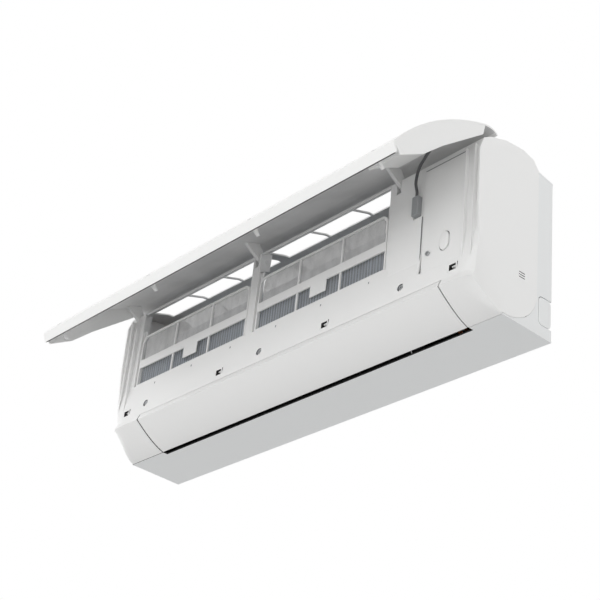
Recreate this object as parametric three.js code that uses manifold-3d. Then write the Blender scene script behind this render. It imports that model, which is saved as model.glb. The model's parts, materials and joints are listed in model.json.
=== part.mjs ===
// The indoor unit of a mini split air conditioner, hung on a wall with its front panel raised.
//
// Lengths are in millimetres. X runs along the unit, to the right of a person who faces it, Y runs
// into the wall and Z up. Heights in this file count from the unit's underside and depths from the
// wall, as negative Y. The finished group is lowered so that the origin lies on the wall, at the
// middle of the mounting plate's back face.

import * as THREE from 'three';
import { mergeVertices } from 'three/addons/utils/BufferGeometryUtils.js';
import Module from 'manifold-3d';

const wasm = await Module();
wasm.setup();

// ---------------------------------------------------------------- driving dimensions

const WIDTH = 835; // across the casing
const HEIGHT = 285; // underside to the top of the casing
const FRONT = 147; // wall to the frame's front face
const BASE_DEPTH = 31; // wall to the seam between the base and the frame
const WALL = 2.5; // moulded walls
const SEAT = 0.3; // gap between two pieces that rest on each other

const RIM = 40; // end of the unit to the filter window, on the left
const SERVICE_BAY = 182.5; // end of the unit to the coil bay, on the right
const MULLION = 17; // post between the two filter windows
const RIM_STEP = 11.4; // end of the unit to the outer ridge
const RIDGE = [1.6, 6]; // width and height of the ridges beside the recess
const WINDOW_BOTTOM = 118;
const WINDOW_TOP_DROP = 23; // top of the casing to the top of the filter windows

const CREASE = [-156, 50.4]; // edge between the lower front band and the louver
const LOUVER_TOP = [-161, 39];
const LOUVER_BEND = [-125, 9];
const LOUVER_END = [-100.4, 1.9];
const LOUVER_LEFT = 87; // end of the unit to the louver's left end
const LOUVER_RIGHT = 60; // end of the unit to the louver's right end
const LOUVER_PIVOT = [-108, 20];
const LOUVER_WALL = 3;
const LOUVER_SIDE_GAP = 2; // between the louver's ends and the frame
const LOUVER_PIN_R = 3;
const LOUVER_MOTOR = [10, 16]; // radius and length
const OUTLET_SLOT = 10; // open slot behind the louver's lower edge

const PANEL_HINGE = [-134, 252];
const PANEL_OPEN = 52; // degrees from closed, as it stands
const PANEL_WALL = 2.6;
const HINGE_PIN_R = 3;
const HINGE_ARM_WIDTH = 6;
const HINGE_ARM_NOTCH = 1.5; // clearance on each side of an arm
const HINGE_ARM_LEFT_INSET = 19; // end of the unit to the left arm
const HINGE_ARM_RIGHT_INSET = 166; // end of the unit to the right arm

const FILTER_HEIGHT = 97;
const FILTER_MARGIN = 3.4; // filter edge to window edge
const FILTER_THICKNESS = 3;
const FILTER_RAIL = 3.2; // width of a filter's bars
const FILTER_COLUMNS = 3;
const FILTER_BAND = [35, 50]; // height of the middle band above the filter's lower edge
const FILTER_CORNER_R = 14;
const NET_THICKNESS = 0.8;
const TAB_SIZE = [36, 20];

const WHEEL_CENTRE = [-66, 108];
const WHEEL_R = 44;
const WHEEL_BLADES = 20;
const WHEEL_DISCS = 4;
const WHEEL_END_GAP = 6; // wheel to the walls of its duct
const SHAFT_R = 4;
const HUB = [12, 14]; // radius and length
const MOTOR_R = 40;
const MOTOR_LENGTH = 50;

const COIL_DEPTH = 22; // through a fin block
const COIL_FACE = 138; // wall to the front of the lower fin block
const COIL_BOTTOM = 83;
const COIL_KNEE = 159; // height where the coil bends back
const COIL_APEX = [-72, 33]; // depth, and drop below the top of the casing
const COIL_REAR = [[-15, 85], [-38, 33]]; // lower and upper ends of the rear block, as depth and drop
const COIL_REAR_DEPTH = 20;
const END_PLATE = 1.5;
const BEND_R = 3.5; // outer radius of the copper tube
const BEND_PITCH = 19; // between tubes along a fin block
const PAN_TO_COIL = 0.7;
const SPOUT_R = 5.5;
const SPOUT_WALL = 1.5;
const SPOUT = [-130, 73.4];

const GAS_R = 4.8;
const GAS_NUT_R = 9.8;
const GAS_START = 121; // height where it leaves the coil
const GAS_LOW = 41; // height in the channel
const LIQUID_R = 3.2;
const LIQUID_NUT_R = 8.6;
const LIQUID_START = 86.5;
const LIQUID_LOW = 19;
const PIPE_END = -175; // where the pipes end, to the left
const PIPE_STEPS = 48;

const PLATE_WIDTH = 690;
const PLATE_BOTTOM = 32;
const PLATE_TOP_DROP = 35;
const PLATE_SHEET = 1.5;
const BACK_WALL = 8; // wall to the base's back wall
const CHANNEL_TOP = 58; // of the pipe channel along the base's lower back
const CHANNEL_DEPTH = 28.5;

const CATCH_HEIGHT = 65;
const CATCH_SIZE = [17, 13];
const CATCH_END_INSET = 42.2; // end of the unit to the outer catches
const CATCH_INNER = [-126.5, 120];
const CATCH_DEPTH = 9;
const SCREW_HEIGHT = 70.7;
const SCREW_X = [-323.7, -30.3, 275.1];
const SCREW_HEAD_R = 3.6;
const SCREW_RECESS_R = 6;
const SCREW_DEPTH = 3.5;

const E_COVER = [110.2, 29.3]; // right end of the unit to the cover's left and right edges
const E_COVER_HEIGHTS = [80, 33]; // lower edge, and drop of the upper edge below the top
const E_COVER_WALL = 2.2;
const E_BOX_DEPTH = 98;
const E_BOX_WALL = 2;
const BUTTON_INSET = 65.5; // end of the unit to the manual button
const BUTTON_HEIGHT = 119;
const BUTTON_SIZE = [18, 30];
const BUTTON_CLEARANCE = 0.4;
const BUTTON_PROUD = 2.2;

const VANES_PER_BANK = 4;
const VANE_SIZE = [22, 48, 1.6]; // along the flow, across the duct and thick
const VANE_CENTRE = [-91.2, 48.7];
const VANE_TILT = 47; // degrees of the air's path below the horizontal
const VANE_PIN_R = 2;
const VANE_PIN_END = 31.5; // across, from the vane's centre
const VANE_BOSS_R = 4.5;
const VANE_BOSS = [25.5, 34.5];
const LINK_SIZE = [7, 3];
const LINK_PIN_R = 1.2;
const LINK_PIN_AT = 8.5; // vane pivot to link pin

const RIGHT = WIDTH / 2;
const LEFT = -RIGHT;
const END_WALLS = [[LEFT + SEAT, LEFT + SEAT + WALL], [RIGHT - SEAT - WALL, RIGHT - SEAT]];
const BAY = [LEFT + RIM, RIGHT - SERVICE_BAY];
const BAY_MIDDLE = (BAY[0] + BAY[1]) / 2;
const PLATE_MIDDLE = (PLATE_BOTTOM + HEIGHT - PLATE_TOP_DROP) / 2;

// ---------------------------------------------------------------- materials

/** A plain surface colour for one kind of stuff. */
function stuff(color, roughness, metalness = 0) {
  return { color, roughness, metalness };
}

const WHITE = stuff(0xf2f2f0, 0.42);
const BASE_WHITE = stuff(0xeceded, 0.5);
const NET_GREY = stuff(0xb9bcbf, 0.8);
const FIN = stuff(0xa9b4bd, 0.4, 0.8);
const COPPER = stuff(0xb06a45, 0.35, 0.9);
const STEEL = stuff(0xaeb1b4, 0.4, 0.9);
const DARK = stuff(0x2b2c2e, 0.6);
const GREY = stuff(0x8d9093, 0.6);
const BOARD = stuff(0x3c6a45, 0.6);
const BRASS = stuff(0xb89a55, 0.35, 0.9);

// ---------------------------------------------------------------- solids

/** A closed three.js geometry as a solid that can be joined and cut. */
function solid(geometry) {
  const bare = new THREE.BufferGeometry();
  bare.setAttribute('position', geometry.getAttribute('position'));
  if (geometry.index) bare.setIndex(geometry.index);
  const merged = mergeVertices(bare, 1e-4);
  return new wasm.Manifold(new wasm.Mesh({
    numProp: 3,
    vertProperties: new Float32Array(merged.getAttribute('position').array),
    triVerts: new Uint32Array(merged.index.array),
  }));
}

/** Joins any number of solids. */
function join(...solids) {
  return solids.reduce((sum, next) => sum.add(next));
}

/** Cuts every tool from a body. */
function cut(body, ...tools) {
  return tools.reduce((rest, tool) => rest.subtract(tool), body);
}

/** A box between two limits on each axis. */
function box([x0, x1], [y0, y1], [z0, z1]) {
  const geometry = new THREE.BoxGeometry(x1 - x0, Math.abs(y1 - y0), z1 - z0);
  geometry.translate((x0 + x1) / 2, (y0 + y1) / 2, (z0 + z1) / 2);
  return solid(geometry);
}

/** Turns a geometry drawn in a plane so that its axes point along u, v and w. */
function turned(geometry, u, v, w) {
  const basis = new THREE.Matrix4().makeBasis(
    new THREE.Vector3(...u),
    new THREE.Vector3(...v),
    new THREE.Vector3(...w),
  );
  return geometry.applyMatrix4(basis);
}

/** A shape from corner points. */
function outline(points) {
  return new THREE.Shape(points.map(([a, b]) => new THREE.Vector2(a, b)));
}

/** A side outline of (y, z) points carried along X from x0 to x1. */
function alongX(points, [x0, x1]) {
  const geometry = new THREE.ExtrudeGeometry(outline(points), { depth: x1 - x0, bevelEnabled: false });
  turned(geometry, [0, 1, 0], [0, 0, 1], [1, 0, 0]);
  geometry.translate(x0, 0, 0);
  return solid(geometry);
}

/** A front outline of (x, z) points carried forward from y0 by a depth. */
function forward(points, y0, depth) {
  const geometry = new THREE.ExtrudeGeometry(outline(points), { depth, bevelEnabled: false });
  turned(geometry, [1, 0, 0], [0, 0, 1], [0, -1, 0]);
  geometry.translate(0, y0, 0);
  return solid(geometry);
}

/** A round bar along X about the line through (y, z). */
function barX(radius, [x0, x1], [y, z], sides = 16) {
  const geometry = new THREE.CylinderGeometry(radius, radius, x1 - x0, sides);
  geometry.rotateZ(Math.PI / 2);
  geometry.translate((x0 + x1) / 2, y, z);
  return solid(geometry);
}

/** A round bar along Y about the line through (x, z), from a back depth to a front depth. */
function barY(radius, [x, z], [back, front], sides = 16) {
  const geometry = new THREE.CylinderGeometry(radius, radius, back - front, sides);
  geometry.translate(x, (back + front) / 2, z);
  return solid(geometry);
}

/** A turned piece about the X line through (y, z): profile of (radius, x) points. */
function latheX(profile, [y, z], sides = 28) {
  const points = profile.map(([r, x]) => new THREE.Vector2(r, x));
  const geometry = new THREE.LatheGeometry(points, sides);
  geometry.rotateZ(-Math.PI / 2);
  geometry.translate(0, y, z);
  return outward(solid(geometry), geometry);
}

/** The same solid whichever way its profile was drawn. */
function outward(body, geometry) {
  if (body.volume() > 0) return body;
  const index = geometry.index.array;
  const flipped = new Uint32Array(index.length);
  for (let i = 0; i < index.length; i += 3) {
    flipped[i] = index[i];
    flipped[i + 1] = index[i + 2];
    flipped[i + 2] = index[i + 1];
  }
  geometry.setIndex(new THREE.BufferAttribute(flipped, 1));
  return solid(geometry);
}

/** A round tube along a smooth curve through points. */
function tube(points, radius, steps, sides = 8) {
  const path = new THREE.CatmullRomCurve3(points.map((p) => new THREE.Vector3(...p)), false, 'centripetal');
  const ring = arc([0, 0], radius, 0, 360 - 360 / sides, sides - 1);
  const options = { steps, bevelEnabled: false, extrudePath: path };
  return solid(new THREE.ExtrudeGeometry(outline(ring), options));
}

/** Points on a circle's arc, from one angle to another in degrees, in a number of steps. */
function arc([cy, cz], radius, from, to, steps) {
  const points = [];
  for (let i = 0; i <= steps; i += 1) {
    const angle = THREE.MathUtils.degToRad(from + ((to - from) * i) / steps);
    points.push([cy + radius * Math.cos(angle), cz + radius * Math.sin(angle)]);
  }
  return points;
}

/** Points on the curve from a to c that bends towards b. */
function bend(a, b, c, steps) {
  const curve = new THREE.QuadraticBezierCurve(
    new THREE.Vector2(...a),
    new THREE.Vector2(...b),
    new THREE.Vector2(...c),
  );
  return curve.getPoints(steps).map((p) => [p.x, p.y]);
}

/** A line moved sideways, to its left for a positive distance. */
function beside(line, distance) {
  return line.map((point, i) => {
    const before = direction(line[Math.max(i - 1, 0)], line[Math.max(i, 1)]);
    const after = direction(line[Math.min(i, line.length - 2)], line[Math.min(i + 1, line.length - 1)]);
    const sum = [before[0] + after[0], before[1] + after[1]];
    const size = Math.hypot(...sum);
    const mitre = (distance * 2) / (size * size);
    return [point[0] - sum[1] * mitre, point[1] + sum[0] * mitre];
  });
}

/** The unit vector from one point to the next. */
function direction([a0, a1], [b0, b1]) {
  const length = Math.hypot(b0 - a0, b1 - a1);
  return [(b0 - a0) / length, (b1 - a1) / length];
}

/** A sheet of even thickness on the left of a line, as a closed outline. */
function strip(line, thickness) {
  return [...line, ...beside(line, thickness).reverse()];
}

/** A rectangle with round corners, as (a, b) points. */
function roundRect([a0, a1], [b0, b1], radius, steps = 4) {
  return [
    ...arc([a1 - radius, b1 - radius], radius, 0, 90, steps),
    ...arc([a0 + radius, b1 - radius], radius, 90, 180, steps),
    ...arc([a0 + radius, b0 + radius], radius, 180, 270, steps),
    ...arc([a1 - radius, b0 + radius], radius, 270, 360, steps),
  ];
}

/** A place between two, measured as a share of the way. */
function between([from, to], share) {
  return from + (to - from) * share;
}

/** A named mesh of one solid. */
function piece(name, body, look) {
  const mesh = body.getMesh();
  const geometry = new THREE.BufferGeometry();
  geometry.setAttribute('position', new THREE.BufferAttribute(new Float32Array(mesh.vertProperties), 3));
  geometry.setIndex(new THREE.BufferAttribute(new Uint32Array(mesh.triVerts), 1));
  geometry.computeVertexNormals();
  const result = new THREE.Mesh(geometry, new THREE.MeshStandardMaterial(look));
  result.name = name;
  return result;
}

// ---------------------------------------------------------------- casing outlines

const SEAM_TOP = [-BASE_DEPTH - SEAT, HEIGHT - 19.6];
const SEAM_CORNER = [-BASE_DEPTH - SEAT, 55];
const SEAM_BEND = [-40, 14];
const SEAM_FOOT = [-84, 5.2];
const UNDERSIDE = 2; // height of the underside's front edge

/** The louver's outer line, from its upper edge round to its lower edge. */
function louverLine() {
  return [CREASE, ...bend(LOUVER_TOP, LOUVER_BEND, LOUVER_END, 8)];
}

/** The frame's outer line: over the top, down the front and round to the underside. */
function frameLine() {
  return [
    SEAM_TOP,
    [-42.6, HEIGHT - 6],
    [-64.9, HEIGHT],
    [-100, HEIGHT - 3],
    [-FRONT + 14, HEIGHT - 14],
    [-FRONT, HEIGHT - WINDOW_TOP_DROP],
    [-FRONT, WINDOW_BOTTOM],
    ...louverLine(),
  ];
}

/** The curve on each end face where the frame's cheek meets the base. */
function seamLine() {
  return [
    [LOUVER_END[0], LOUVER_END[1] + WALL + SEAT],
    ...bend(SEAM_FOOT, SEAM_BEND, SEAM_CORNER, 8),
  ];
}

/** The front edge of the frame's cheeks, a little proud of the front face. */
function cheekLine() {
  return [
    [-FRONT, HEIGHT - WINDOW_TOP_DROP],
    [-FRONT - 7, HEIGHT - 43],
    [-FRONT - 6, 154],
    [-FRONT - 2, 105],
    CREASE,
  ];
}

/** Depth of the lower front band at a height. */
function bandFace(z) {
  const share = (WINDOW_BOTTOM - z) / (WINDOW_BOTTOM - CREASE[1]);
  return -FRONT + (CREASE[0] + FRONT) * share;
}

const CATCH_X = [LEFT + CATCH_END_INSET, ...CATCH_INNER, RIGHT - CATCH_END_INSET];
const HINGE_X = [LEFT + HINGE_ARM_LEFT_INSET, BAY_MIDDLE, RIGHT - HINGE_ARM_RIGHT_INSET];
const LOUVER_SPAN = [LEFT + LOUVER_LEFT, RIGHT - LOUVER_RIGHT];
const FILTER_BOTTOM = WINDOW_BOTTOM + SEAT;
const FILTER_FRONT = -FRONT + 1.5;
const FILTER_BACK = FILTER_FRONT + FILTER_THICKNESS;

/** The two filter windows, as (left, right) pairs. */
const WINDOWS = [
  [BAY[0], BAY_MIDDLE - MULLION / 2],
  [BAY_MIDDLE + MULLION / 2, BAY[1]],
];

/** The span of the filter in a window. */
function filterSpan([x0, x1]) {
  return [x0 + FILTER_MARGIN, x1 - FILTER_MARGIN];
}

/** Where the bars between a filter's columns stand. */
function columnLines(window) {
  const span = filterSpan(window);
  const lines = [];
  for (let i = 1; i < FILTER_COLUMNS; i += 1) lines.push(between(span, i / FILTER_COLUMNS));
  return lines;
}

const PLUG_SIZE = [12, 32];
const PLUG_TOP = 213;
const PLUG_TO_COVER = 6; // plug to the service cover
const PLUG_RIGHT = RIGHT - E_COVER[0] - PLUG_TO_COVER;

/** The span of the lead's plug across and up. */
const PLUG = [[PLUG_RIGHT - PLUG_SIZE[0], PLUG_RIGHT], [PLUG_TOP - PLUG_SIZE[1], PLUG_TOP]];

// ---------------------------------------------------------------- wall plate and base

/** The pressed steel plate that is screwed to the wall, with the hooks that carry the base. */
function wallPlate() {
  const half = PLATE_WIDTH / 2;
  const top = HEIGHT - PLATE_TOP_DROP;
  const windows = [[-half + 85, -half + 163], [half - 163, half - 85]];
  let body = forward(roundRect([-half, half], [PLATE_BOTTOM, top], 8), 0, PLATE_SHEET);
  for (const [x0, x1] of windows) {
    const hole = roundRect([x0, x1], [PLATE_BOTTOM + 78, top - 78], 10);
    body = cut(body, forward(hole, 1, PLATE_SHEET + 2));
  }
  for (const x of [-half + 30, -90, 90, half - 30]) {
    for (const z of [PLATE_BOTTOM + 20, PLATE_MIDDLE, top - 14]) {
      body = cut(body, barY(2.6, [x, z], [1, -PLATE_SHEET - 1], 10));
    }
  }
  const reach = -BACK_WALL + SEAT;
  for (const x of [-half + 100, 0, half - 100]) {
    const hook = box([x - 18, x + 18], [reach, -PLATE_SHEET / 2], [top - 24, top - 20]);
    const foot = box([x - 12, x + 12], [reach, -PLATE_SHEET / 2], [CHANNEL_TOP + 8, CHANNEL_TOP + 11]);
    body = join(body, hook, foot);
  }
  return piece('wall_plate', body, STEEL);
}

const SCROLL_GAP = [6, 12]; // wheel to the curved wall, at its top and at its foot
const SCROLL_ANGLES = [62, -42]; // degrees about the wheel, from the level line towards the wall
const SCROLL_STEPS = 9;
const SCROLL_FOOT = [-84, 9];

/** The curved wall behind the blower wheel, down to the outlet's rear lip. */
function scrollLine() {
  const [y, z] = WHEEL_CENTRE;
  const spiral = Array.from({ length: SCROLL_STEPS + 1 }, (_, i) => {
    const share = i / SCROLL_STEPS;
    const angle = THREE.MathUtils.degToRad(between(SCROLL_ANGLES, share));
    const radius = WHEEL_R + between(SCROLL_GAP, share);
    return [y + radius * Math.cos(angle), z + radius * Math.sin(angle)];
  });
  return [...spiral, SCROLL_FOOT];
}

const OUTLET_LIP = LOUVER_END[0] + OUTLET_SLOT;
const LOUVER_SWEEP = Math.hypot(LOUVER_END[0] - LOUVER_PIVOT[0], LOUVER_END[1] - LOUVER_PIVOT[1]) + 2;
const DUCT = [BAY[0] + 2, BAY[1] - 2];
const SUPPORT_X = [E_COVER[0] - 12, E_COVER[1] + 12];

/** The base: back, rim, pipe channel, scroll, duct walls and the cradle of the motor. */
function base() {
  const inner = [LEFT + WALL / 2, RIGHT - WALL / 2];
  const underside = [
    [-0.5, 0],
    [-50, 1.2],
    [SEAM_FOOT[0], UNDERSIDE],
    [LOUVER_END[0] + WALL / 2, UNDERSIDE],
  ];
  const top = [[-BASE_DEPTH + 0.6, HEIGHT - 20.1], [-0.5, HEIGHT - 25.4]];
  const side = [
    [-0.8, WALL / 2],
    ...beside(underside, -WALL / 2).slice(1, 3),
    [SEAM_FOOT[0], SEAM_FOOT[1] - SEAT],
    ...bend(SEAM_FOOT, SEAM_BEND, SEAM_CORNER, 8).slice(1).map(([y, z]) => [y + SEAT, z - SEAT]),
    [-BASE_DEPTH, top[0][1] - WALL / 2],
    [-0.8, top[1][1] - WALL / 2],
  ];
  const channel = [[-CHANNEL_DEPTH, 1], [-CHANNEL_DEPTH, CHANNEL_TOP], [-BACK_WALL, CHANNEL_TOP]];
  const back = [[-BACK_WALL, CHANNEL_TOP], [-BACK_WALL, HEIGHT - 25.5]];
  const scroll = [...scrollLine(), [OUTLET_LIP, UNDERSIDE + WALL]];
  let body = join(
    ...END_WALLS.map((span) => alongX(side, span)),
    alongX(strip(underside, -WALL), [LEFT, RIGHT]),
    alongX(strip(top, -WALL), [LEFT, RIGHT]),
    alongX(strip(channel, WALL), inner),
    alongX(strip(back, WALL), inner),
    alongX(strip(scroll, WALL), DUCT),
    box(DUCT, [scrollLine()[0][0] - 1, -BACK_WALL - 1], [scrollLine()[0][1], scrollLine()[0][1] + WALL]),
  );
  const slot = box(LOUVER_SPAN, [LOUVER_END[0] - 1, OUTLET_LIP], [-1, UNDERSIDE + WALL + 0.5]);
  body = cut(body, slot);
  const sweep = barX(LOUVER_SWEEP, LOUVER_SPAN, LOUVER_PIVOT, 32);
  const walls = DUCT.map((x, i) => cut(ductWall(i === 0 ? [x - WALL, x] : [x, x + WALL]), sweep));
  body = join(body, ...walls);
  body = join(body, motorCradle(), ...boxPosts(), ...vaneBosses());
  return piece('rear_base', cut(body, shaftHole(), pipeHole(), ...knockOuts(0), ...vaneBores()), BASE_WHITE);
}

/** One end wall of the blower's duct, which also carries the coil and the drain pan. */
function ductWall(span) {
  const front = -FRONT + WALL + 1;
  const edge = [
    [-BACK_WALL - 1, scrollLine()[0][1] + WALL / 2],
    ...beside(scrollLine(), WALL / 2),
    [-90, 20],
    [-120, 48],
    [front, 58],
    [front, 76],
    [-118, 79],
    [-108, 94],
    [-105, 140],
    [-62, 196],
    [-40, 190],
    [-BACK_WALL - 1, 190],
  ];
  return alongX(edge, span);
}

/** The holes in the duct walls for the left bearing, the motor's shaft and the pan's spout. */
function shaftHole() {
  const left = [DUCT[0] - WALL - 1, DUCT[0] + 1];
  const right = [DUCT[1] - 1, DUCT[1] + WALL + 1];
  return join(
    barX(11, left, WHEEL_CENTRE, 20),
    barX(14, right, WHEEL_CENTRE, 20),
    barX(SPOUT_R + SEAT, right, SPOUT, 14),
  );
}

const MOTOR_SPAN = [DUCT[1] + WALL + 3, DUCT[1] + WALL + 3 + MOTOR_LENGTH];

/** Two saddles under the motor, on a floor that the pipe channel carries. */
function motorCradle() {
  const [y, z] = WHEEL_CENTRE;
  const floor = z - MOTOR_R - 12;
  const ribs = [MOTOR_SPAN[0] + 6, MOTOR_SPAN[1] - 10].map((x) =>
    box([x, x + 4], [y - MOTOR_R - 4, -CHANNEL_DEPTH + 6], [floor - 1, z - MOTOR_R * 0.55]));
  const shelf = box([DUCT[1], MOTOR_SPAN[1]], [y - MOTOR_R - 4, -CHANNEL_DEPTH + 1], [floor - 3, floor]);
  return cut(join(shelf, ...ribs), barX(MOTOR_R + SEAT, [MOTOR_SPAN[0] - 2, MOTOR_SPAN[1] + 2], [y, z], 36));
}

/** The opening through which the pipes enter the channel from beside the motor. */
function pipeHole() {
  const depth = [-CHANNEL_DEPTH - WALL - 1, -CHANNEL_DEPTH + 1];
  return box([PIPE_PLANE - 10, PIPE_PLANE + 8], depth, [8, CHANNEL_TOP - 4]);
}

/** Posts from the base's back that carry the electrical box. */
function boxPosts() {
  const front = -FRONT + 1 + E_BOX_DEPTH + SEAT;
  return SUPPORT_X.flatMap((inset) => [110, 210].map((z) =>
    barY(5, [RIGHT - inset, z], [-BACK_WALL - 1, front], 12)));
}

/** The knock-out openings at both ends of the pipe channel, grown by a gap. */
function knockOuts(gap) {
  const shape = roundRect([-BASE_DEPTH + 3 - gap, 6], [18.4 - gap, 63.4 + gap], 7);
  return END_WALLS.map(([x0, x1]) => alongX(shape, [x0 - 1, x1 + 1]));
}

/** A snap-in cover that fills a knock-out opening. */
function knockOutCover(name, [x0, x1]) {
  const shape = roundRect([-BASE_DEPTH + 3 + SEAT, -0.8], [18.4 + SEAT, 63.4 - SEAT], 6.6);
  const rib = [[-24, 24], [-6, 24], [-6, 26], [-24, 26]];
  const inward = x0 < 0 ? [x0, x1 + 3] : [x0 - 3, x1];
  return piece(name, join(alongX(shape, [x0, x1]), alongX(rib, inward)), BASE_WHITE);
}

// ---------------------------------------------------------------- frame

/** The front frame: top grille, filter windows, lower band, cheeks and louver opening. */
function frontFrame() {
  const middle = beside(frameLine(), WALL / 2);
  const cheek = [
    [SEAM_TOP[0], SEAM_TOP[1] - WALL],
    ...middle.slice(1, 5),
    ...cheekLine().slice(0, -1),
    ...middle.slice(7),
    ...seamLine(),
  ];
  let body = join(
    alongX(strip(frameLine(), WALL), [LEFT, RIGHT]),
    ...END_WALLS.map((span) => alongX(cheek, span)),
  );
  const opening = [[FRONT + 25, -20], [FRONT + 25, CREASE[1]], [50, CREASE[1]], [50, -20]];
  body = cut(
    body,
    alongX(opening.map(([y, z]) => [-y, z]), LOUVER_SPAN),
    ...WINDOWS.map((span) =>
      box(span, [-FRONT - 5, -FRONT + WALL + 1], [WINDOW_BOTTOM, HEIGHT - WINDOW_TOP_DROP])),
    ...inletSlots(),
    eCoverOpening(),
    ...HINGE_X.map(hingeNotch),
    ...CATCH_X.map(catchSocket),
  );
  body = join(body, ...filterGuides(), ...rimRidges(), ...hingeEars(), ...screwCups(), ...outletEnds());
  body = cut(body, ...sideSlits(), ...SCREW_X.map(screwRecess), ...HINGE_X.map(pinHole));
  return piece('front_frame', cut(body, louverPinHoles(), plugNotch()), WHITE);
}

const INLET_FRONT = [-FRONT + 15, -91];
const INLET_REAR = [-68, -40];
const STRUT = 3.5;

/** The open slots of the top inlet, in line with the columns of the filters. */
function inletSlots() {
  return WINDOWS.flatMap((window) => {
    const edges = [window[0], ...columnLines(window), window[1]];
    return edges.slice(1).flatMap((right, i) => {
      const span = [edges[i] + STRUT / 2, right - STRUT / 2];
      return [INLET_FRONT, INLET_REAR].map((depth) => box(span, depth, [HEIGHT - 24, HEIGHT + 4]));
    });
  });
}

/** The opening in the frame for the electrical box's cover. */
function eCoverOpening() {
  const span = [RIGHT - E_COVER[0] - SEAT, RIGHT - E_COVER[1] + SEAT];
  const heights = [E_COVER_HEIGHTS[0] - SEAT, HEIGHT - E_COVER_HEIGHTS[1] + SEAT];
  return box(span, [-FRONT - 12, -FRONT + 6], heights);
}

/** The notch that a hinge arm swings through. */
function hingeNotch(x) {
  const half = HINGE_ARM_WIDTH / 2 + HINGE_ARM_NOTCH;
  const [y, z] = PANEL_HINGE;
  return box([x - half, x + half], [-FRONT - 12, y + 12], [z - 12, HEIGHT + 5]);
}

/** Rails behind the window edges, which hold the filters by their sides. */
function filterGuides() {
  const rail = [FILTER_BACK + SEAT, FILTER_BACK + SEAT + 2.5];
  const heights = [WINDOW_BOTTOM - 6, FILTER_BOTTOM + FILTER_HEIGHT + 12];
  const parts = [];
  for (const [x0, x1] of WINDOWS) {
    parts.push(box([x0 - WALL, x0 + 7], rail, heights));
    parts.push(box([x0 - WALL, x0], [-FRONT + 1, rail[1]], heights));
    parts.push(box([x1 - 7, x1 + WALL], rail, heights));
    parts.push(box([x1, x1 + WALL], [-FRONT + 1, rail[1]], heights));
    parts.push(box([x0, x1], [-FRONT + 1, rail[1]], [WINDOW_BOTTOM - WALL, WINDOW_BOTTOM]));
  }
  return parts;
}

/** The raised edges that step the recess in towards the panel, at both ends. */
function rimRidges() {
  const heights = [58, HEIGHT - 31];
  return [E_COVER[1] - 2 * SEAT, RIM_STEP].flatMap((inset) =>
    [[LEFT + inset - RIDGE[0], LEFT + inset], [RIGHT - inset, RIGHT - inset + RIDGE[0]]].map((span) =>
      box(span, [-FRONT + 1, -FRONT - RIDGE[1]], heights)));
}

/** Ears that hold the panel's hinge pins. */
function hingeEars() {
  const [y, z] = PANEL_HINGE;
  const near = HINGE_ARM_WIDTH / 2 + HINGE_ARM_NOTCH;
  const shape = [
    [-FRONT + 1, HEIGHT - WINDOW_TOP_DROP - 1],
    [-FRONT + 1, z - 24],
    [y + 8, z - 14],
    [y + 10, HEIGHT - 12],
    [-FRONT + 14, HEIGHT - 15.5],
  ];
  return HINGE_X.flatMap((x) => [
    alongX(shape, [x - near - 3.5, x - near]),
    alongX(shape, [x + near, x + near + 3.5]),
  ]);
}

/** The bore through a pair of ears for a hinge pin. */
function pinHole(x) {
  return barX(HINGE_PIN_R + SEAT, [x - 9, x + 9], PANEL_HINGE, 12);
}

/** The socket in the lower band for a panel catch. */
function catchSocket(x) {
  const half = CATCH_SIZE[0] / 2 + SEAT;
  const face = bandFace(CATCH_HEIGHT);
  const heights = [CATCH_HEIGHT - CATCH_SIZE[1] / 2 - SEAT, CATCH_HEIGHT + CATCH_SIZE[1] / 2 + SEAT];
  return box([x - half, x + half], [face - 3, face + WALL + 3], heights);
}

/** The round cup behind each screw. */
function screwCups() {
  const face = bandFace(SCREW_HEIGHT);
  const depth = [face + SCREW_DEPTH + 3, face + 1];
  return SCREW_X.map((x) => barY(SCREW_RECESS_R + 1.5, [x, SCREW_HEIGHT], depth));
}

/** The recess in front of a screw, with its hole. */
function screwRecess(x) {
  const face = bandFace(SCREW_HEIGHT);
  return join(
    barY(SCREW_RECESS_R, [x, SCREW_HEIGHT], [face + SCREW_DEPTH, face - 3]),
    barY(2.1, [x, SCREW_HEIGHT], [face + SCREW_DEPTH + 5, face + 1], 10),
  );
}

/** Three short slits in each cheek. */
function sideSlits() {
  return END_WALLS.map(([x0, x1]) => [x0 - 1, x1 + 1]).flatMap((span) =>
    [82.3, 78.4, 74.5].map((z) => box(span, [-68.8, -56.7], [z - 0.6, z + 0.6])));
}

/** Walls that close the fixed sections beside the louver and carry its pins. */
function outletEnds() {
  const rear = LOUVER_PIVOT[0] + 15;
  const shape = [
    ...beside(louverLine(), WALL / 2),
    [LOUVER_END[0] + 0.6, LOUVER_END[1] + WALL + SEAT],
    [rear, LOUVER_PIVOT[1] + 3],
    [LOUVER_PIVOT[0] + 4, LOUVER_PIVOT[1] + 19],
    [LOUVER_PIVOT[0] - 24, LOUVER_PIVOT[1] + 28],
  ];
  const [left, right] = LOUVER_SPAN;
  return [[left - WALL, left], [right, right + WALL]].map((span) => alongX(shape, span));
}

/** The holes for the louver's pins. */
function louverPinHoles() {
  return barX(LOUVER_PIN_R + SEAT, [LOUVER_SPAN[0] - 10, LOUVER_SPAN[1] + 10], LOUVER_PIVOT, 12);
}

/** The notch beside the service cover that holds the plug of the display's lead. */
function plugNotch() {
  const grown = PLUG.map(([low, high]) => [low - SEAT, high + SEAT]);
  return box(grown[0], [-FRONT - 2, -FRONT + WALL + 1], grown[1]);
}

// ---------------------------------------------------------------- coil

const APEX = [COIL_APEX[0], HEIGHT - COIL_APEX[1]];
const COIL_MIDDLE = -COIL_FACE + COIL_DEPTH / 2;

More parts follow.
